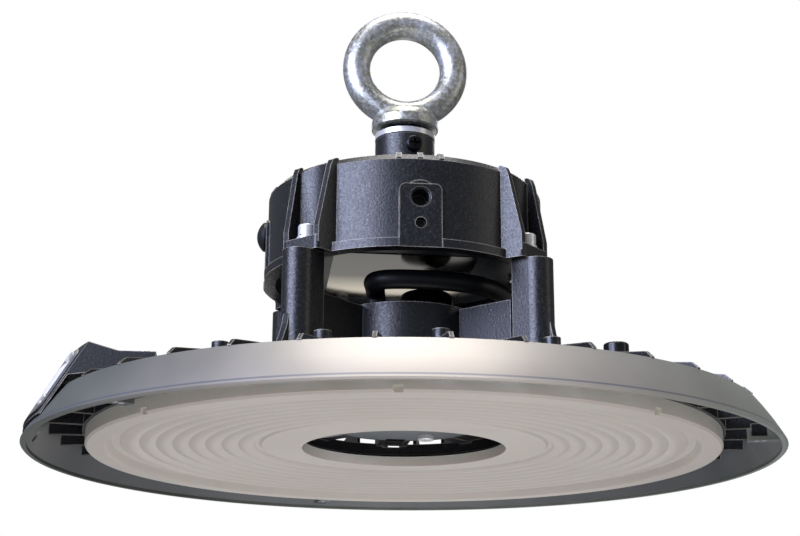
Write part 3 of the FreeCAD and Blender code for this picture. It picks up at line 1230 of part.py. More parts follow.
def make_board_fixings():
    """Four screws that hold the driver's board to the roof's posts."""
    low = pcb_top() - PCB_THICKNESS
    radius, height = FIXING_HEAD
    head = disc(radius, low - height, low, (0, -PCB_STANDOFF_CIRCLE))
    return [turn(head, a) for a in PCB_STANDOFF_ANGLES]


def make_pillar_bolts():
    """Four socket cap bolts that hold the drum on the pillars."""
    seat = DRUM_BOTTOM + LUG_PLATE_HEIGHT + FLAT_WASHER[1] + SPRING_WASHER[1]
    shank = disc(BOLT_RADIUS, seat - BOLT_LENGTH, seat)
    head = disc(BOLT_HEAD_RADIUS, seat, seat + BOLT_HEAD_HEIGHT)
    rim = [e for e in head.Edges if abs(e.BoundBox.ZMin - (seat + BOLT_HEAD_HEIGHT)) < 1e-6]
    head = head.makeFillet(0.5, rim)
    socket = hexagon(BOLT_SOCKET_FLATS / 2, seat + BOLT_HEAD_HEIGHT - BOLT_SOCKET_DEPTH,
                     seat + BOLT_HEAD_HEIGHT + EPS)
    bolt = fuse([shank, head]).cut(socket)
    return around(moved(bolt, (0, -BOLT_CIRCLE)), PILLAR_COUNT, PILLAR_FIRST_ANGLE)


def make_pillar_flat_washers():
    """Flat washers under the pillar bolts."""
    low = DRUM_BOTTOM + LUG_PLATE_HEIGHT
    one = tube(FLAT_WASHER[0], BOLT_RADIUS + BOLT_HOLE_GAP, low, low + FLAT_WASHER[1],
               (0, -BOLT_CIRCLE))
    return around(one, PILLAR_COUNT, PILLAR_FIRST_ANGLE)


def split_ring(outer, inner, z0, z1, gap=0.8):
    """A split spring washer, pressed flat, with its gap at the front."""
    return tube(outer, inner, z0, z1).cut(front_block(0, outer + 1.0, gap / 2, z0 - EPS, z1 + EPS))


def make_pillar_spring_washers():
    """Spring washers under the pillar bolts' heads."""
    low = DRUM_BOTTOM + LUG_PLATE_HEIGHT + FLAT_WASHER[1]
    one = split_ring(SPRING_WASHER[0], BOLT_RADIUS + BOLT_HOLE_GAP, low, low + SPRING_WASHER[1])
    return around(moved(one, (0, -BOLT_CIRCLE)), PILLAR_COUNT, PILLAR_FIRST_ANGLE)


def collar_base():
    """Height of the lifting eye's collar face."""
    return NECK_TOP + FACE_WASHER_THICKNESS + EYE_LOCK_WASHER_THICKNESS


def make_lifting_eye():
    """The forged eye: ring, round-shouldered collar and shank."""
    base = collar_base()
    centre = base + EYE_CENTRE_HEIGHT
    ring = Part.makeTorus(EYE_RING_RADIUS, EYE_TUBE_RADIUS, V(0, 0, centre), V(0, 1, 0))
    waist_top = centre - EYE_RING_RADIUS + EYE_TUBE_RADIUS * 0.3
    low_edge = base + COLLAR_HEIGHT
    collar = lathe([
        line((0, base), (COLLAR_RADIUS - 0.6, base)),
        line((COLLAR_RADIUS - 0.6, base), (COLLAR_RADIUS, base + 0.6)),
        line((COLLAR_RADIUS, base + 0.6), (COLLAR_RADIUS, low_edge)),
        arc((COLLAR_RADIUS, low_edge),
            (COLLAR_RADIUS - COLLAR_SHOULDER[0], low_edge + COLLAR_SHOULDER[1]),
            (COLLAR_NECK_RADIUS, waist_top)),
        line((COLLAR_NECK_RADIUS, waist_top), (0, waist_top)),
        line((0, waist_top), (0, base)),
    ])
    inside_tube = Part.makeCylinder(EYE_RING_RADIUS, 4 * EYE_TUBE_RADIUS,
                                    V(0, -2 * EYE_TUBE_RADIUS, centre), V(0, 1, 0))
    shank = disc(EYE_THREAD_RADIUS, base - EYE_SHANK_LENGTH, base)
    return fuse([ring, collar.cut(inside_tube), shank])


def make_face_washer():
    """The bright washer on the neck's end."""
    return tube(FACE_WASHER_RADIUS, EYE_THREAD_RADIUS + BOLT_HOLE_GAP, NECK_TOP,
                NECK_TOP + FACE_WASHER_THICKNESS)


def make_eye_lock_washer():
    """The spring washer under the lifting eye's collar."""
    low = NECK_TOP + FACE_WASHER_THICKNESS
    return split_ring(EYE_LOCK_WASHER_RADIUS, EYE_THREAD_RADIUS + BOLT_HOLE_GAP, low,
                      low + EYE_LOCK_WASHER_THICKNESS, 1.6)


def make_neck_set_screw():
    """The cross head screw that locks the lifting eye in the neck."""
    seat = NECK_RADIUS + 0.25
    tip = EYE_THREAD_RADIUS + THREAD_GAP + SEAT_GAP
    screw = screw_up(SET_SCREW_RADIUS, seat - tip, SET_HEAD_RADIUS, SET_HEAD_HEIGHT, -seat, 0.45)
    screw.rotate(V(0, 0, 0), V(1, 0, 0), -90)
    screw.translate(V(0, 0, SET_SCREW_HEIGHT))
    return turn(screw, SET_SCREW_ANGLE)


def sheet_radius(z):
    """The inner radius of the rating plate's backing sheet, which leans off the skirt."""
    low = skirt_radius(LABEL_BOTTOM) + RIM_BULGE + SEAT_GAP
    high = skirt_radius(LABEL_TOP) + RIM_BULGE + SEAT_GAP + LABEL_LEAN
    return low + (high - low) * (z - LABEL_BOTTOM) / (LABEL_TOP - LABEL_BOTTOM)


def sheet_band(inner_offset, outer_offset, z0, z1):
    """A conical band that runs parallel to the backing sheet, between two offsets from it."""
    return lathe_points([
        (sheet_radius(z0) + inner_offset, z0),
        (sheet_radius(z0) + outer_offset, z0),
        (sheet_radius(z1) + outer_offset, z1),
        (sheet_radius(z1) + inner_offset, z1),
    ])


def make_label_bracket():
    """The folded box behind the rating plate: backing sheet, ends and top panel."""
    reach = RIM_RADIUS + BRACKET_REACH
    wide = block(-LABEL_HALF_WIDTH, LABEL_HALF_WIDTH, -reach, -BRACKET_INNER_RADIUS, 0, reach)
    sheet = sheet_band(0, BACKING_THICKNESS, LABEL_BOTTOM, LABEL_TOP).common(wide)
    crease_z = bracket_panel_top()
    top_radius = sheet_radius(LABEL_TOP) + BACKING_THICKNESS / 2
    low = FIN_TIP_TOP + FIN_SLOPE * (RIM_TOP_RADIUS - BRACKET_INNER_RADIUS) + SEAT_GAP
    foot_z = FIN_TIP_TOP + SEAT_GAP
    shade = lathe_points([
        (BRACKET_INNER_RADIUS, crease_z),
        (BRACKET_CREASE_RADIUS, crease_z),
        (top_radius, LABEL_TOP),
        (top_radius, LABEL_TOP - BRACKET_WALL),
        (BRACKET_CREASE_RADIUS, crease_z - BRACKET_WALL),
        (BRACKET_INNER_RADIUS, crease_z - BRACKET_WALL),
    ]).common(wide)
    end = lathe_points([
        (BRACKET_INNER_RADIUS, low),
        (BRACKET_INNER_RADIUS, crease_z),
        (BRACKET_CREASE_RADIUS, crease_z),
        (top_radius, LABEL_TOP),
        (sheet_radius(foot_z) + BACKING_THICKNESS / 2, foot_z),
    ])
    ends = [end.common(block(s * LABEL_HALF_WIDTH - BRACKET_WALL * (s > 0),
                             s * LABEL_HALF_WIDTH + BRACKET_WALL * (s < 0),
                             -reach, -BRACKET_INNER_RADIUS, 0, reach)) for s in (-1, 1)]
    bracket = turn(cut(fuse([sheet, shade] + ends), rivet_tools(RIVET_RADIUS + THREAD_GAP)),
                   LABEL_ANGLE)
    boss = disc(BOARD_BOSS_RADIUS + SEAT_GAP, LABEL_BOTTOM, BOARD_BOSS_TOP + SEAT_GAP,
                (0, -BOARD_SCREW_CIRCLE))
    hole = disc(BRACKET_SCREW_RADIUS + THREAD_GAP, low, LABEL_TOP, (0, -BRACKET_SCREW_CIRCLE))
    return cut(bracket, around(boss, BOARD_BOSS_COUNT)
               + [turn(hole, a) for a in BRACKET_SCREW_ANGLES])


def bracket_panel_top():
    """Top of the bracket's level inner panel, where its screws' heads sit."""
    return LABEL_TOP - BRACKET_CREASE_DROP


def make_bracket_screws():
    """Two screws that hold the rating plate's bracket down on the heat sink."""
    screw = screw_up(BRACKET_SCREW_RADIUS, BRACKET_SCREW_LENGTH, BRACKET_HEAD_RADIUS,
                     BRACKET_HEAD_HEIGHT, 0)
    screw.rotate(V(0, 0, 0), V(1, 0, 0), 180)
    placed = moved(screw, (0, -BRACKET_SCREW_CIRCLE), bracket_panel_top())
    return [turn(placed, a) for a in BRACKET_SCREW_ANGLES]


def label_spots():
    """The rivets' angles and heights on the plate."""
    end, edge = RIVET_INSET
    span = math.degrees(math.asin((LABEL_HALF_WIDTH - end) / RIM_TOP_RADIUS))
    return [(a, z) for a in (-span, span) for z in (LABEL_BOTTOM + edge, LABEL_TOP - edge)]


def sheet_tilt():
    """The tilt of the backing sheet's outward normal above level, in radians."""
    fall = sheet_radius(LABEL_BOTTOM) - sheet_radius(LABEL_TOP)
    return math.atan(fall / (LABEL_TOP - LABEL_BOTTOM))


def rivet_pin(radius, back, front, angle, z):
    """A pin along the sheet's normal, from back to front offsets."""
    tilt = sheet_tilt()
    out = V(0, -math.cos(tilt), math.sin(tilt))
    pin = Part.makeCylinder(radius, front - back, V(0, -sheet_radius(z), z) + out * back, out)
    return turn(pin, angle)


def rivet_tools(radius):
    """Drills for the rivets, through the plate and its backing."""
    front = plate_face() + RIVET_LENGTH
    return [rivet_pin(radius, -EPS, front, a, z) for a, z in label_spots()]


def plate_face():
    """The rating plate's outer face, along the sheet's normal."""
    return (BACKING_THICKNESS + LABEL_GAP + LABEL_THICKNESS) * math.cos(sheet_tilt())


def make_label_plate():
    """The bare metal rating plate, curved like the sheet, with round corners."""
    inner = BACKING_THICKNESS + LABEL_GAP
    half = LABEL_HALF_WIDTH - LABEL_MARGIN
    low = LABEL_BOTTOM + LABEL_MARGIN
    high = LABEL_TOP - LABEL_MARGIN
    band = sheet_band(inner, inner + LABEL_THICKNESS, low, high)
    stencil = block(-half, half, -RIM_RADIUS - BRACKET_REACH, 0, low, high)
    corners = [e for e in stencil.Edges if e.BoundBox.YLength > RIM_RADIUS]
    stencil = stencil.makeFillet(LABEL_CORNER, corners)
    plate = band.common(stencil)
    return turn(cut(plate, rivet_tools(RIVET_RADIUS + THREAD_GAP)), LABEL_ANGLE)


def make_label_rivets():
    """Four rivets that hold the rating plate to its bracket."""
    face = plate_face()
    rivets = []
    for a, z in label_spots():
        pin = rivet_pin(RIVET_RADIUS, face - RIVET_LENGTH, face, a, z)
        head = rivet_pin(RIVET_HEAD_RADIUS, face, face + RIVET_HEAD_HEIGHT, a, z)
        rivets.append(turn(fuse([pin, head]), LABEL_ANGLE))
    return rivets


def all_nodes():
    """Every node's name with its solid, or its list of like solids."""
    hub_gland, hub_gland_nut = gland_solids(HUB_TOP, HUB_ROOF, 1)
    drum_gland, drum_gland_nut = gland_solids(BASE_BOTTOM, BASE_THICKNESS, -1)
    return {
        "trim_ring": make_trim_ring(),
        "ring_screws": make_ring_screws(),
        "heat_sink": make_heat_sink(),
        "vent_plug": make_vent_plug(),
        "led_board": make_led_board(),
        "led_packages": make_led_packages(),
        "board_screws": make_board_screws(),
        "lens": make_lens(),
        "lens_outer_seal": make_lens_outer_seal(),
        "lens_inner_seal": make_lens_inner_seal(),
        "hub_cover": make_hub_cover(),
        "hub_seal": make_hub_seal(),
        "hub_cover_screws": make_hub_cover_screws(),
        "duct_cover": make_duct_cover(),
        "hub_plug": make_hub_plug(),
        "hub_plug_nut": make_hub_plug_nut(),
        "hub_gland": moved(hub_gland, HUB_GLAND_PLACE),
        "hub_gland_nut": moved(hub_gland_nut, HUB_GLAND_PLACE),
        "drum_gland": moved(drum_gland, DRUM_GLAND_PLACE),
        "drum_gland_nut": moved(drum_gland_nut, DRUM_GLAND_PLACE),
        "led_lead": make_led_lead(),
        "driver_housing": make_driver_housing(),
        "side_plug": make_side_plug(),
        "driver_base": make_driver_base(),
        "base_seal": make_base_seal(),
        "base_screws": make_base_screws(),
        "base_label": make_base_label(),
        "driver_board": make_driver_board(),
        "transformer": make_transformer(),
        "capacitors": make_capacitors(),
        "choke": make_choke(),
        "terminal_block": make_terminal_block(),
        "board_fixings": make_board_fixings(),
        "pillar_bolts": make_pillar_bolts(),
        "pillar_flat_washers": make_pillar_flat_washers(),
        "pillar_spring_washers": make_pillar_spring_washers(),
        "lifting_eye": make_lifting_eye(),
        "face_washer": make_face_washer(),
        "eye_lock_washer": make_eye_lock_washer(),
        "neck_set_screw": make_neck_set_screw(),
        "label_bracket": make_label_bracket(),
        "bracket_screws": make_bracket_screws(),
        "label_plate": make_label_plate(),
        "label_rivets": make_label_rivets(),
    }


def main():
    """Write one STEP file for each node."""
    os.makedirs("parts", exist_ok=True)
    for name, shape in all_nodes().items():
        whole = Part.makeCompound(shape) if isinstance(shape, list) else shape
        whole.exportStep("parts/" + name + ".step")
        print(name, "solids", len(whole.Solids), "valid", whole.isValid(),
              "volume", round(whole.Volume, 1))


main()
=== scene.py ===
import json
import math
import bpy
from mathutils import Matrix, Vector


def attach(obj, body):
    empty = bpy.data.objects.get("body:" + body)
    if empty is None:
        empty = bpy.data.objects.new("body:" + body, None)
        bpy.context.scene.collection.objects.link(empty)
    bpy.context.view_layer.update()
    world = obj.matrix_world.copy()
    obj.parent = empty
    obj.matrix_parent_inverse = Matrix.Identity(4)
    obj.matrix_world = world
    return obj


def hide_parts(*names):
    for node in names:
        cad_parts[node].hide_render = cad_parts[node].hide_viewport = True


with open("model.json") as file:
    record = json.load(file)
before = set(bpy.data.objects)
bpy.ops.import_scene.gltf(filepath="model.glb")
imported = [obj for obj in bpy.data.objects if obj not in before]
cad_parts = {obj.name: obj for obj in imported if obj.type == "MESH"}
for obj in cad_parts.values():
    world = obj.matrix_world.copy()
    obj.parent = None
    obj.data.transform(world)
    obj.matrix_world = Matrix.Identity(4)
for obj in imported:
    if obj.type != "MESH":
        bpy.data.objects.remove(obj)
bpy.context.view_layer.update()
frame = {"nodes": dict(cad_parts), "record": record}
NODES = frame["nodes"]


# ---------------------------------------------------------------- camera

LENS_MM = 68.08
SENSOR_MM = 36.0
CAMERA_PLACE = (-0.0649, -0.5999, -0.1017)
CAMERA_TURN = -6.0      # degrees round the upright
CAMERA_PITCH = 16.8     # degrees above level
CAMERA_ROLL = 0.25
CLIP = (0.01, 100.0)


def make_camera():
    """A camera below the light, in front of it, that looks up."""
    data = bpy.data.cameras.new("camera")
    data.sensor_width = SENSOR_MM
    data.lens = LENS_MM
    data.clip_start, data.clip_end = CLIP
    camera = bpy.data.objects.new("camera", data)
    bpy.context.scene.collection.objects.link(camera)
    heading = Matrix.Rotation(math.radians(CAMERA_TURN), 4, "Z")
    pitch = Matrix.Rotation(math.radians(90.0 + CAMERA_PITCH), 4, "X")
    roll = Matrix.Rotation(math.radians(CAMERA_ROLL), 4, "Z")
    place = Matrix.Translation(CAMERA_PLACE)
    camera.matrix_world = place @ heading @ pitch @ roll
    bpy.context.scene.camera = camera


make_camera()


# ------------------------------------------------------------- materials

X, Y, Z = 0, 1, 2


class Nodes:
    """A short way to lay out a material's nodes."""

    def __init__(self, name):
        self.material = bpy.data.materials.new(name)
        self.material.use_nodes = True
        self.tree = self.material.node_tree
        self.shader = self.tree.nodes["Principled BSDF"]

    def add(self, kind, **values):
        node = self.tree.nodes.new(kind)
        for key, value in values.items():
            setattr(node, key, value)
        return node

    def link(self, out, into):
        self.tree.links.new(out, into)

    def feed(self, name, out):
        """Link an output into one of the shader's own sockets."""
        self.link(out, self.shader.inputs[name])

    def set(self, **values):
        for key, value in values.items():
            self.shader.inputs[key.replace("_", " ")].default_value = value

    def place(self, scale=(1, 1, 1)):
        where = self.add("ShaderNodeTexCoord")
        mapping = self.add("ShaderNodeMapping")
        mapping.inputs["Scale"].default_value = scale
        self.link(where.outputs["Object"], mapping.inputs["Vector"])
        return mapping.outputs["Vector"]

    def axis(self, number):
        """The place along one of the piece's own axes, in metres."""
        where = self.add("ShaderNodeTexCoord")
        split = self.add("ShaderNodeSeparateXYZ")
        self.link(where.outputs["Object"], split.inputs[0])
        return split.outputs[number]

    def noise(self, vector, scale, detail=4.0, rough=0.5):
        node = self.add("ShaderNodeTexNoise")
        node.inputs["Scale"].default_value = scale
        node.inputs["Detail"].default_value = detail
        node.inputs["Roughness"].default_value = rough
        self.link(vector, node.inputs["Vector"])
        return node.outputs["Fac"]

    def ramp(self, factor, *stops):
        node = self.add("ShaderNodeValToRGB")
        ramp = node.color_ramp
        while len(ramp.elements) < len(stops):
            ramp.elements.new(0.5)
        for element, (position, colour) in zip(ramp.elements, stops):
            element.position = position
            if isinstance(colour, (int, float)):
                colour = (colour, colour, colour)
            element.color = (*colour, 1.0)
        self.link(factor, node.inputs["Fac"])
        return node.outputs["Color"]

    def spread(self, value, start, end, low=0.0, high=1.0):
        """A value's stretch from start to end, drawn out to low to high."""
        node = self.add("ShaderNodeMapRange")
        node.inputs["From Min"].default_value = start
        node.inputs["From Max"].default_value = end
        node.inputs["To Min"].default_value = low
        node.inputs["To Max"].default_value = high
        self.link(value, node.inputs["Value"])
        return node.outputs["Result"]

    def math(self, operation, first, second):
        """A sum of an output with another output or a number."""
        node = self.add("ShaderNodeMath", operation=operation)
        self.link(first, node.inputs[0])
        if isinstance(second, (int, float)):
            node.inputs[1].default_value = second
        else:
            self.link(second, node.inputs[1])
        return node.outputs[0]

    def within(self, value, middle, half):
        """One where a value is within half of the middle, nothing elsewhere."""
        node = self.add("ShaderNodeMath", operation="COMPARE")
        self.link(value, node.inputs[0])
        node.inputs[1].default_value = middle
        node.inputs[2].default_value = half
        return node.outputs[0]

    def blend(self, factor, below, above):
        """Mix two colours or colour outputs by a factor."""
        node = self.add("ShaderNodeMix", data_type="RGBA")
        self.link(factor, node.inputs["Factor"])
        for name, value in (("A", below), ("B", above)):
            socket = [i for i in node.inputs if i.name == name and i.type == "RGBA"][0]
            if isinstance(value, tuple):
                socket.default_value = (*value, 1.0)
            else:
                self.link(value, socket)
        return [o for o in node.outputs if o.type == "RGBA"][0]

    def bump(self, height, distance, strength=1.0, normal=None):
        node = self.add("ShaderNodeBump")
        node.inputs["Strength"].default_value = strength
        node.inputs["Distance"].default_value = distance
        self.link(height, node.inputs["Height"])
        if normal is not None:
            self.link(normal, node.inputs["Normal"])
        return node.outputs["Normal"]


def rgb(text):
    """A colour given as sRGB hex, in linear light."""
    parts = [int(text[i:i + 2], 16) / 255.0 for i in (0, 2, 4)]
    return tuple(p / 12.92 if p <= 0.04045 else ((p + 0.055) / 1.055) ** 2.4 for p in parts)


BEVEL_SAMPLES = 6
EDGE_SPREAD = (0.02, 0.16)      # how far a bevelled normal strays, from none to full edge colour (rubbed paint and painted highlight)


def edge_mask(made, radius):
    """White along the edges, black on the faces."""
    bevel = made.add("ShaderNodeBevel", samples=BEVEL_SAMPLES)
    bevel.inputs["Radius"].default_value = radius
    geometry = made.add("ShaderNodeNewGeometry")
    dot = made.add("ShaderNodeVectorMath", operation="DOT_PRODUCT")
    made.link(bevel.outputs["Normal"], dot.inputs[0])
    made.link(geometry.outputs["Normal"], dot.inputs[1])
    low, high = EDGE_SPREAD
    return made.spread(dot.outputs["Value"], 1.0 - low, 1.0 - high)


def facing_up(made):
    """Little on faces that look down, all on level and upward ones: it puts the painted edge
    highlight where light from above falls.
    """
    geometry = made.add("ShaderNodeNewGeometry")
    split = made.add("ShaderNodeSeparateXYZ")
    made.link(geometry.outputs["Normal"], split.inputs[0])
    return made.spread(split.outputs[Z], -0.5, -0.05, low=0.2)


def powder_coat(name, dark, light, rough=0.34, rub_and_highlight=0.65):
    """Textured paint: a fine orange peel with pale specks, and pale cream along the edges,
    strongest on upward faces: partly rubbed paint, partly a painted highlight from light above.
    """
    made = Nodes(name)
    place = made.place()
    fine = made.noise(place, 1150.0, 2.0, 0.6)
    broad = made.noise(place, 26.0, 4.0, 0.6)
    patch = made.noise(place, 160.0, 3.0, 0.6)
    colour = made.ramp(broad, (0.3, rgb(dark)), (0.75, rgb(light)))
    specks = made.ramp(fine, (0.56, 0.0), (0.72, 0.07))
    colour = made.blend(specks, colour, rgb("8a8c90"))
    # painted highlight: the pale cream on the edges, strongest on upward faces, stands for light
    # from above as well as rubbed paint
    patchy = made.ramp(patch, (0.35, rub_and_highlight * 0.5), (0.6, rub_and_highlight))
    strength = made.math("MULTIPLY", patchy, facing_up(made))
    rubbed_and_highlit = made.math("MULTIPLY", edge_mask(made, 0.0007), strength)
    made.feed("Base Color", made.blend(rubbed_and_highlit, colour, rgb("d8d0c0")))
    made.feed("Roughness", made.ramp(fine, (0.3, rough - 0.08), (0.7, rough + 0.14)))
    made.feed("Normal", made.bump(fine, 0.00013, 0.7))
    made.set(Specular_IOR_Level=0.6)
    return made.material


def metal(name, dark, light, rough_low, rough_high, metallic=1.0):
    """Plated or blackened steel of small parts, faintly clouded."""
    made = Nodes(name)
    place = made.place()
    broad = made.noise(place, 80.0, 5.0, 0.6)
    fine = made.noise(place, 960.0, 3.0, 0.5)
    made.feed("Base Color", made.ramp(broad, (0.35, rgb(dark)), (0.65, rgb(light))))
    made.feed("Roughness", made.ramp(broad, (0.3, rough_low), (0.7, rough_high)))
    made.feed("Normal", made.bump(fine, 0.00003, 0.4))
    made.set(Metallic=metallic)
    return made.material


def galvanised():
    """Forged steel under a mottled zinc coat, with painted reflections of the surroundings: khaki
    stripes and lilac-blue tints.
    """
    made = Nodes("galvanised_steel")
    place = made.place()
    cloud = made.noise(place, 90.0, 6.0, 0.68)
    reflection_band_noise = made.noise(made.place((40.0, 40.0, 110.0)), 1.0, 3.0, 0.5)
    fleck = made.noise(place, 640.0, 4.0, 0.7)
    grain = made.noise(place, 1900.0, 2.0, 0.6)
    # partly painted reflection: the lilac-blue top of this mottle stands for the bluish light
    # seen in the zinc
    base = made.ramp(cloud, (0.30, rgb("7c7f78")), (0.45, rgb("a5a597")), (0.58, rgb("b9bcc2")),
                     (0.72, rgb("d3d7ea")))
    # painted reflection: khaki stripes, as of the surroundings seen in the zinc
    olive_reflection_mask = made.ramp(reflection_band_noise, (0.52, 0.0), (0.64, 0.55))
    base = made.blend(olive_reflection_mask, base, rgb("8f8c66"))
    spots = made.ramp(fleck, (0.44, 0.0), (0.62, 0.6))
    made.feed("Base Color", made.blend(spots, base, rgb("eceef2")))
    made.feed("Roughness", made.ramp(fleck, (0.3, 0.28), (0.7, 0.46)))
    lumps = made.bump(cloud, 0.0006, 0.3)
    made.feed("Normal", made.bump(grain, 0.00011, 0.6, lumps))
    made.set(Metallic=0.8)
    return made.material


def moulded(name, dark, light, rough):
    """Plain moulded plastic or rubber, or smooth paint."""
    made = Nodes(name)
    place = made.place()
    fine = made.noise(place, 1200.0, 2.0, 0.5)
    broad = made.noise(place, 30.0, 3.0, 0.5)
    made.feed("Base Color", made.ramp(broad, (0.3, rgb(dark)), (0.7, rgb(light))))
    made.feed("Roughness", made.ramp(broad, (0.3, rough - 0.04), (0.7, rough + 0.06)))
    made.feed("Normal", made.bump(fine, 0.00004, 0.4))
    return made.material


def skirt_outside():
    """Satin silver paint with painted light: a pale painted highlight in front, painted shade on
    -X, a greenish painted reflection on +X, and a dark painted shadow just over the hem for a
    groove.
    """
    made = Nodes("skirt_silver")
    place = made.place()
    cloud = made.noise(place, 18.0, 4.0, 0.55)
    fine = made.noise(place, 1600.0, 2.0, 0.6)
    # painted light: a bright front, shade on -X and a greenish reflection on +X
    front_highlight_tone = made.ramp(cloud, (0.3, rgb("9c968f")), (0.7, rgb("a7a19a")))
    minus_x_shade_tone = made.ramp(cloud, (0.3, rgb("686b67")), (0.7, rgb("747772")))
    plus_x_reflection_tone = made.ramp(cloud, (0.3, rgb("969d97")), (0.7, rgb("a4a9a2")))
    side_light_tones = made.blend(made.spread(made.axis(X), -0.09, 0.03), minus_x_shade_tone, plus_x_reflection_tone)
    colour = made.blend(made.spread(made.axis(Y), -0.146, -0.085), front_highlight_tone, side_light_tones)
    # painted shadow: a dark band just over the hem, standing for a fine groove
    hem_groove_shadow = made.math("MULTIPLY", made.within(made.axis(Z), 0.00175, 0.00035), 0.6)
    made.feed("Base Color", made.blend(hem_groove_shadow, colour, rgb("555c6c")))
    made.feed("Roughness", made.ramp(cloud, (0.3, 0.38), (0.7, 0.48)))
    made.feed("Normal", made.bump(fine, 0.00004, 0.35))
    made.set(Metallic=0.55)
    return made.material


def skirt_inside():
    """The ring's inside, a darker grey than its outside."""
    made = Nodes("skirt_inside")
    place = made.place()
    cloud = made.noise(place, 16.0, 3.0, 0.5)
    fine = made.noise(place, 1500.0, 2.0, 0.6)
    made.feed("Base Color", made.ramp(cloud, (0.3, rgb("5c6163")), (0.7, rgb("737373"))))
    made.feed("Roughness", made.ramp(fine, (0.3, 0.42), (0.7, 0.55)))
    made.feed("Normal", made.bump(fine, 0.00004, 0.3))
    made.set(Metallic=0.3)
    return made.material


def lens_material(name, dark, light, edge):
    """Milky moulded plastic with soft flow marks, and a painted highlight that makes the edges
    paler.
    """
    made = Nodes(name)
    place = made.place()
    broad = made.noise(place, 9.0, 3.0, 0.5)
    flow = made.noise(made.place((6.0, 30.0, 6.0)), 3.0, 4.0, 0.6)
    fine = made.noise(place, 900.0, 2.0, 0.5)
    colour = made.ramp(broad, (0.3, rgb(dark)), (0.7, rgb(light)))
    marks = made.ramp(flow, (0.52, 0.0), (0.75, 0.14))
    marked = made.blend(marks, colour, rgb("a59e97"))
    # painted highlight: the edges take a paler colour than the faces
    made.feed("Base Color", made.blend(edge_mask(made, 0.0009), marked, rgb(edge)))
    made.feed("Normal", made.bump(fine, 0.00003, 0.3))
    made.set(Roughness=0.42, IOR=1.5, Subsurface_Weight=0.2, Subsurface_Scale=0.003)
    return made.material


FIELD_COUNT = 5
FIELD_PITCH = 0.0230
FIELD_SIZE = (0.0150, 0.0125)   # along the plate, and up it
FIELD_HEIGHT = 0.0185           # of the fields' middle


def plate_fields(made):
    """One inside the rating plate's row of bare fields, nothing round them."""
    along, up = made.axis(Y), made.axis(Z)
    total = None
    for i in range(FIELD_COUNT):
        middle = (i - (FIELD_COUNT - 1) / 2) * FIELD_PITCH
        field = made.math("MULTIPLY", made.within(along, middle, FIELD_SIZE[0] / 2),
                          made.within(up, FIELD_HEIGHT, FIELD_SIZE[1] / 2))
        total = field if total is None else made.math("MAXIMUM", total, field)
    return total


def rating_plate():
    """A bare silver plate with a row of generic pale fields."""
    made = Nodes("rating_plate")
    place = made.place()
    cloud = made.noise(place, 60.0, 4.0, 0.6)
    fine = made.noise(place, 1400.0, 2.0, 0.6)
    colour = made.ramp(cloud, (0.3, rgb("6b6967")), (0.7, rgb("777573")))
    made.feed("Base Color", made.blend(plate_fields(made), colour, rgb("e4e4e4")))
    made.feed("Roughness", made.ramp(cloud, (0.3, 0.34), (0.7, 0.48)))
    made.feed("Normal", made.bump(fine, 0.00003, 0.3))
    made.set(Metallic=0.12)
    return made.material


def base_foil():
    """Bare bright foil, with a painted dark reflection towards the front."""
    made = Nodes("silver_label")
    place = made.place()
    cloud = made.noise(place, 60.0, 5.0, 0.6)
    foil = made.ramp(cloud, (0.35, rgb("bdb5a7")), (0.65, rgb("cdc6b9")))
    front_dark_reflection = made.ramp(cloud, (0.35, rgb("1e1e1f")), (0.65, rgb("2a2928")))
    # painted reflection: the foil turns dark towards the front
    made.feed("Base Color", made.blend(made.spread(made.axis(Y), 0.004, 0.024), front_dark_reflection, foil))
    made.feed("Roughness", made.ramp(cloud, (0.3, 0.1), (0.7, 0.16)))
    made.set(Metallic=0.95)
    return made.material


MATERIALS = {
    "black_cast": powder_coat("black_cast", "0e0f12", "181a1f"),
    "skirt_silver": skirt_outside(),
    "galvanised_steel": galvanised(),
    "bright_zinc": metal("bright_zinc", "dededd", "f2f2f1", 0.24, 0.38, metallic=0.5),
    "black_steel": metal("black_steel", "202124", "34363a", 0.26, 0.42),
    "milky_lens": lens_material("milky_lens", "c2bab0", "cbc3b9", "d8d2ca"),
    "black_rubber": moulded("black_rubber", "0b0c10", "13151a", 0.44),
    "white_silicone": moulded("white_silicone", "d8d8d2", "e4e4df", 0.5),
    "black_plastic": moulded("black_plastic", "0f1013", "181a1e", 0.30),
    "grey_paint": moulded("grey_paint", "585d61", "666b6f", 0.42),
    "board_white": moulded("board_white", "dcdcd8", "e8e8e4", 0.45),
    "led_phosphor": moulded("led_phosphor", "d8c24a", "e6d468", 0.4),
    "board_green": moulded("board_green", "1d5a35", "28693f", 0.35),
    "ferrite": moulded("ferrite", "2c2b2b", "3a3938", 0.6),
    "capacitor_sleeve": moulded("capacitor_sleeve", "1c2740", "26324f", 0.3),
    "nylon_natural": moulded("nylon_natural", "dcd8c8", "e8e4d6", 0.4),
    "silver_label": base_foil(),
}
PLATE = rating_plate()
INSIDE = skirt_inside()
# painted light: a paler copy of the lens colour for its upright walls, which sit in shade
LIT_LENS_WALL = lens_material("lens_wall_painted_lit", "e6dfd2", "efe9de", "f2eee6")
BOX_COAT = powder_coat("bracket_coat", "131416", "1c1e21", rough=0.5, rub_and_highlight=0.6)


HEM_TOP = 0.0012         # the ring's hem is painted like its outside below this height
UPRIGHT = 0.35           # a face whose normal rises less than this is a wall of the lens


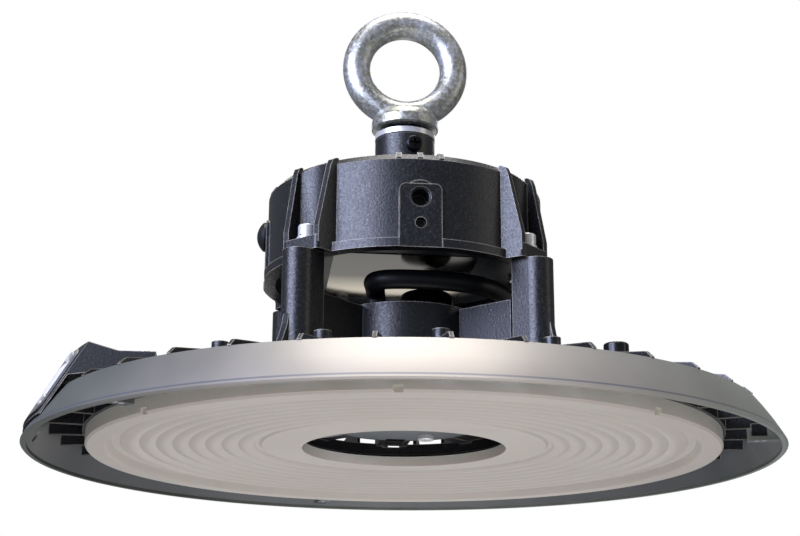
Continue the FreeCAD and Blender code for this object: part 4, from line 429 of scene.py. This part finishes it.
def dress():
    """Give each node its record's material, and the ring's inside its own."""
    for row in frame["record"]["subparts"]:
        mesh = NODES[row["node"]].data
        mesh.materials.clear()
        mesh.materials.append(MATERIALS[row["material_slot"]])
    NODES["label_plate"].data.materials[0] = PLATE
    NODES["label_bracket"].data.materials[0] = BOX_COAT
    ring = NODES["trim_ring"]
    ring.data.materials.append(INSIDE)
    for polygon in ring.data.polygons:
        outwards = polygon.normal.x * polygon.center.x + polygon.normal.y * polygon.center.y
        polygon.material_index = 1 if outwards < 0 and polygon.center.z > HEM_TOP else 0
    lens = NODES["lens"]
    # the upright faces of the lens take the paler painted-light copy
    lens.data.materials.append(LIT_LENS_WALL)
    for polygon in lens.data.polygons:
        polygon.material_index = 1 if abs(polygon.normal.z) < UPRIGHT else 0


dress()


# ------------------------------------------------------------------ lead

LEAD_RADIUS = 0.0039
HUB_GLAND = (-0.0128, -0.0117)
DRUM_GLAND = (0.0135, 0.0330)
ROUTE = (
    (*HUB_GLAND, 0.0470), (*HUB_GLAND, 0.0560), (*HUB_GLAND, 0.0673), (-0.0165, -0.0296, 0.0668),
    (0.0140, -0.0305, 0.0668), (0.0345, -0.0220, 0.0665), (0.0440, -0.0010, 0.0662),
    (0.0370, 0.0240, 0.0662), (*DRUM_GLAND, 0.0665), (*DRUM_GLAND, 0.0760), (*DRUM_GLAND, 0.0840),
)


def make_lead():
    """The rubber covered lead, smooth along its whole route."""
    curve = bpy.data.curves.new("lead", "CURVE")
    curve.dimensions = "3D"
    curve.bevel_depth = LEAD_RADIUS
    curve.bevel_resolution = 8
    curve.use_fill_caps = True
    curve.resolution_u = 24
    spline = curve.splines.new("NURBS")
    spline.points.add(len(ROUTE) - 1)
    for point, place in zip(spline.points, ROUTE):
        point.co = (*place, 1.0)
    spline.order_u = 3
    spline.use_endpoint_u = True
    lead = bpy.data.objects.new("lead", curve)
    bpy.context.scene.collection.objects.link(lead)
    curve.materials.append(MATERIALS["black_rubber"])
    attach(lead, "root")
    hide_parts("led_lead")


make_lead()


# ----------------------------------------------------------------- stage

FLOOR_HEIGHT = -1.5
FLOOR_SIZE = 30.0
ROOM_STRENGTH = 0.32
LAMPS = (               # name, place, aim, width and height, watts, colour
    ("overhead", (0.0, -0.15, 1.7), (0, 0, 0.1), (1.1, 1.1), 26.0, (1.0, 0.97, 0.93)),
    ("left", (-1.12, -0.90, 0.52), (0, 0, 0.08), (1.15, 0.9), 38.0, (0.66, 0.72, 1.0)),
    ("right", (1.35, -0.55, 0.35), (0, 0, 0.08), (0.5, 1.0), 1.6, (1.0, 0.95, 0.85)),
    ("rear", (0.3, 1.5, 1.1), (0, 0, 0.1), (1.4, 0.6), 10.0, (1.0, 1.0, 1.0)),
    ("under", (0.1, -0.6, -1.2), (0, 0, 0.0), (1.4, 1.4), 9.0, (1.0, 0.98, 0.96)),
    ("back_low", (0.115, 1.094, -0.30), (0, 0, 0.09), (0.5, 0.4), 0.5, (1.0, 0.96, 0.88)),
)


def make_floor():
    bpy.ops.mesh.primitive_plane_add(size=FLOOR_SIZE, location=(0, 0, FLOOR_HEIGHT))
    floor = bpy.context.object
    floor.name = "floor"
    made = Nodes("floor")
    made.set(Roughness=0.9, Base_Color=(0.75, 0.75, 0.75, 1))
    floor.data.materials.append(made.material)


def make_room():
    """A dim grey room that looks white where it is seen itself."""
    world = bpy.data.worlds.new("world")
    bpy.context.scene.world = world
    world.use_nodes = True
    tree = world.node_tree
    room = tree.nodes["Background"]
    room.inputs["Color"].default_value = (0.55, 0.56, 0.58, 1)
    room.inputs["Strength"].default_value = ROOM_STRENGTH
    seen = tree.nodes.new("ShaderNodeBackground")
    seen.inputs["Color"].default_value = (1, 1, 1, 1)
    path = tree.nodes.new("ShaderNodeLightPath")
    either = tree.nodes.new("ShaderNodeMath")
    either.operation = "MAXIMUM"
    tree.links.new(path.outputs["Is Camera Ray"], either.inputs[0])
    tree.links.new(path.outputs["Is Transmission Ray"], either.inputs[1])
    mix = tree.nodes.new("ShaderNodeMixShader")
    tree.links.new(either.outputs[0], mix.inputs[0])
    tree.links.new(room.outputs[0], mix.inputs[1])
    tree.links.new(seen.outputs[0], mix.inputs[2])
    tree.links.new(mix.outputs[0], tree.nodes["World Output"].inputs["Surface"])


def make_lamps():
    for name, place, aim, size, watts, colour in LAMPS:
        data = bpy.data.lights.new(name, "AREA")
        data.shape = "RECTANGLE"
        data.size, data.size_y = size
        data.energy = watts
        data.color = colour
        lamp = bpy.data.objects.new(name, data)
        bpy.context.scene.collection.objects.link(lamp)
        lamp.location = place
        lamp.rotation_euler = (Vector(aim) - Vector(place)).to_track_quat("-Z", "Y").to_euler()


make_floor()
make_room()
make_lamps()
bpy.context.scene.view_settings.view_transform = "Standard"
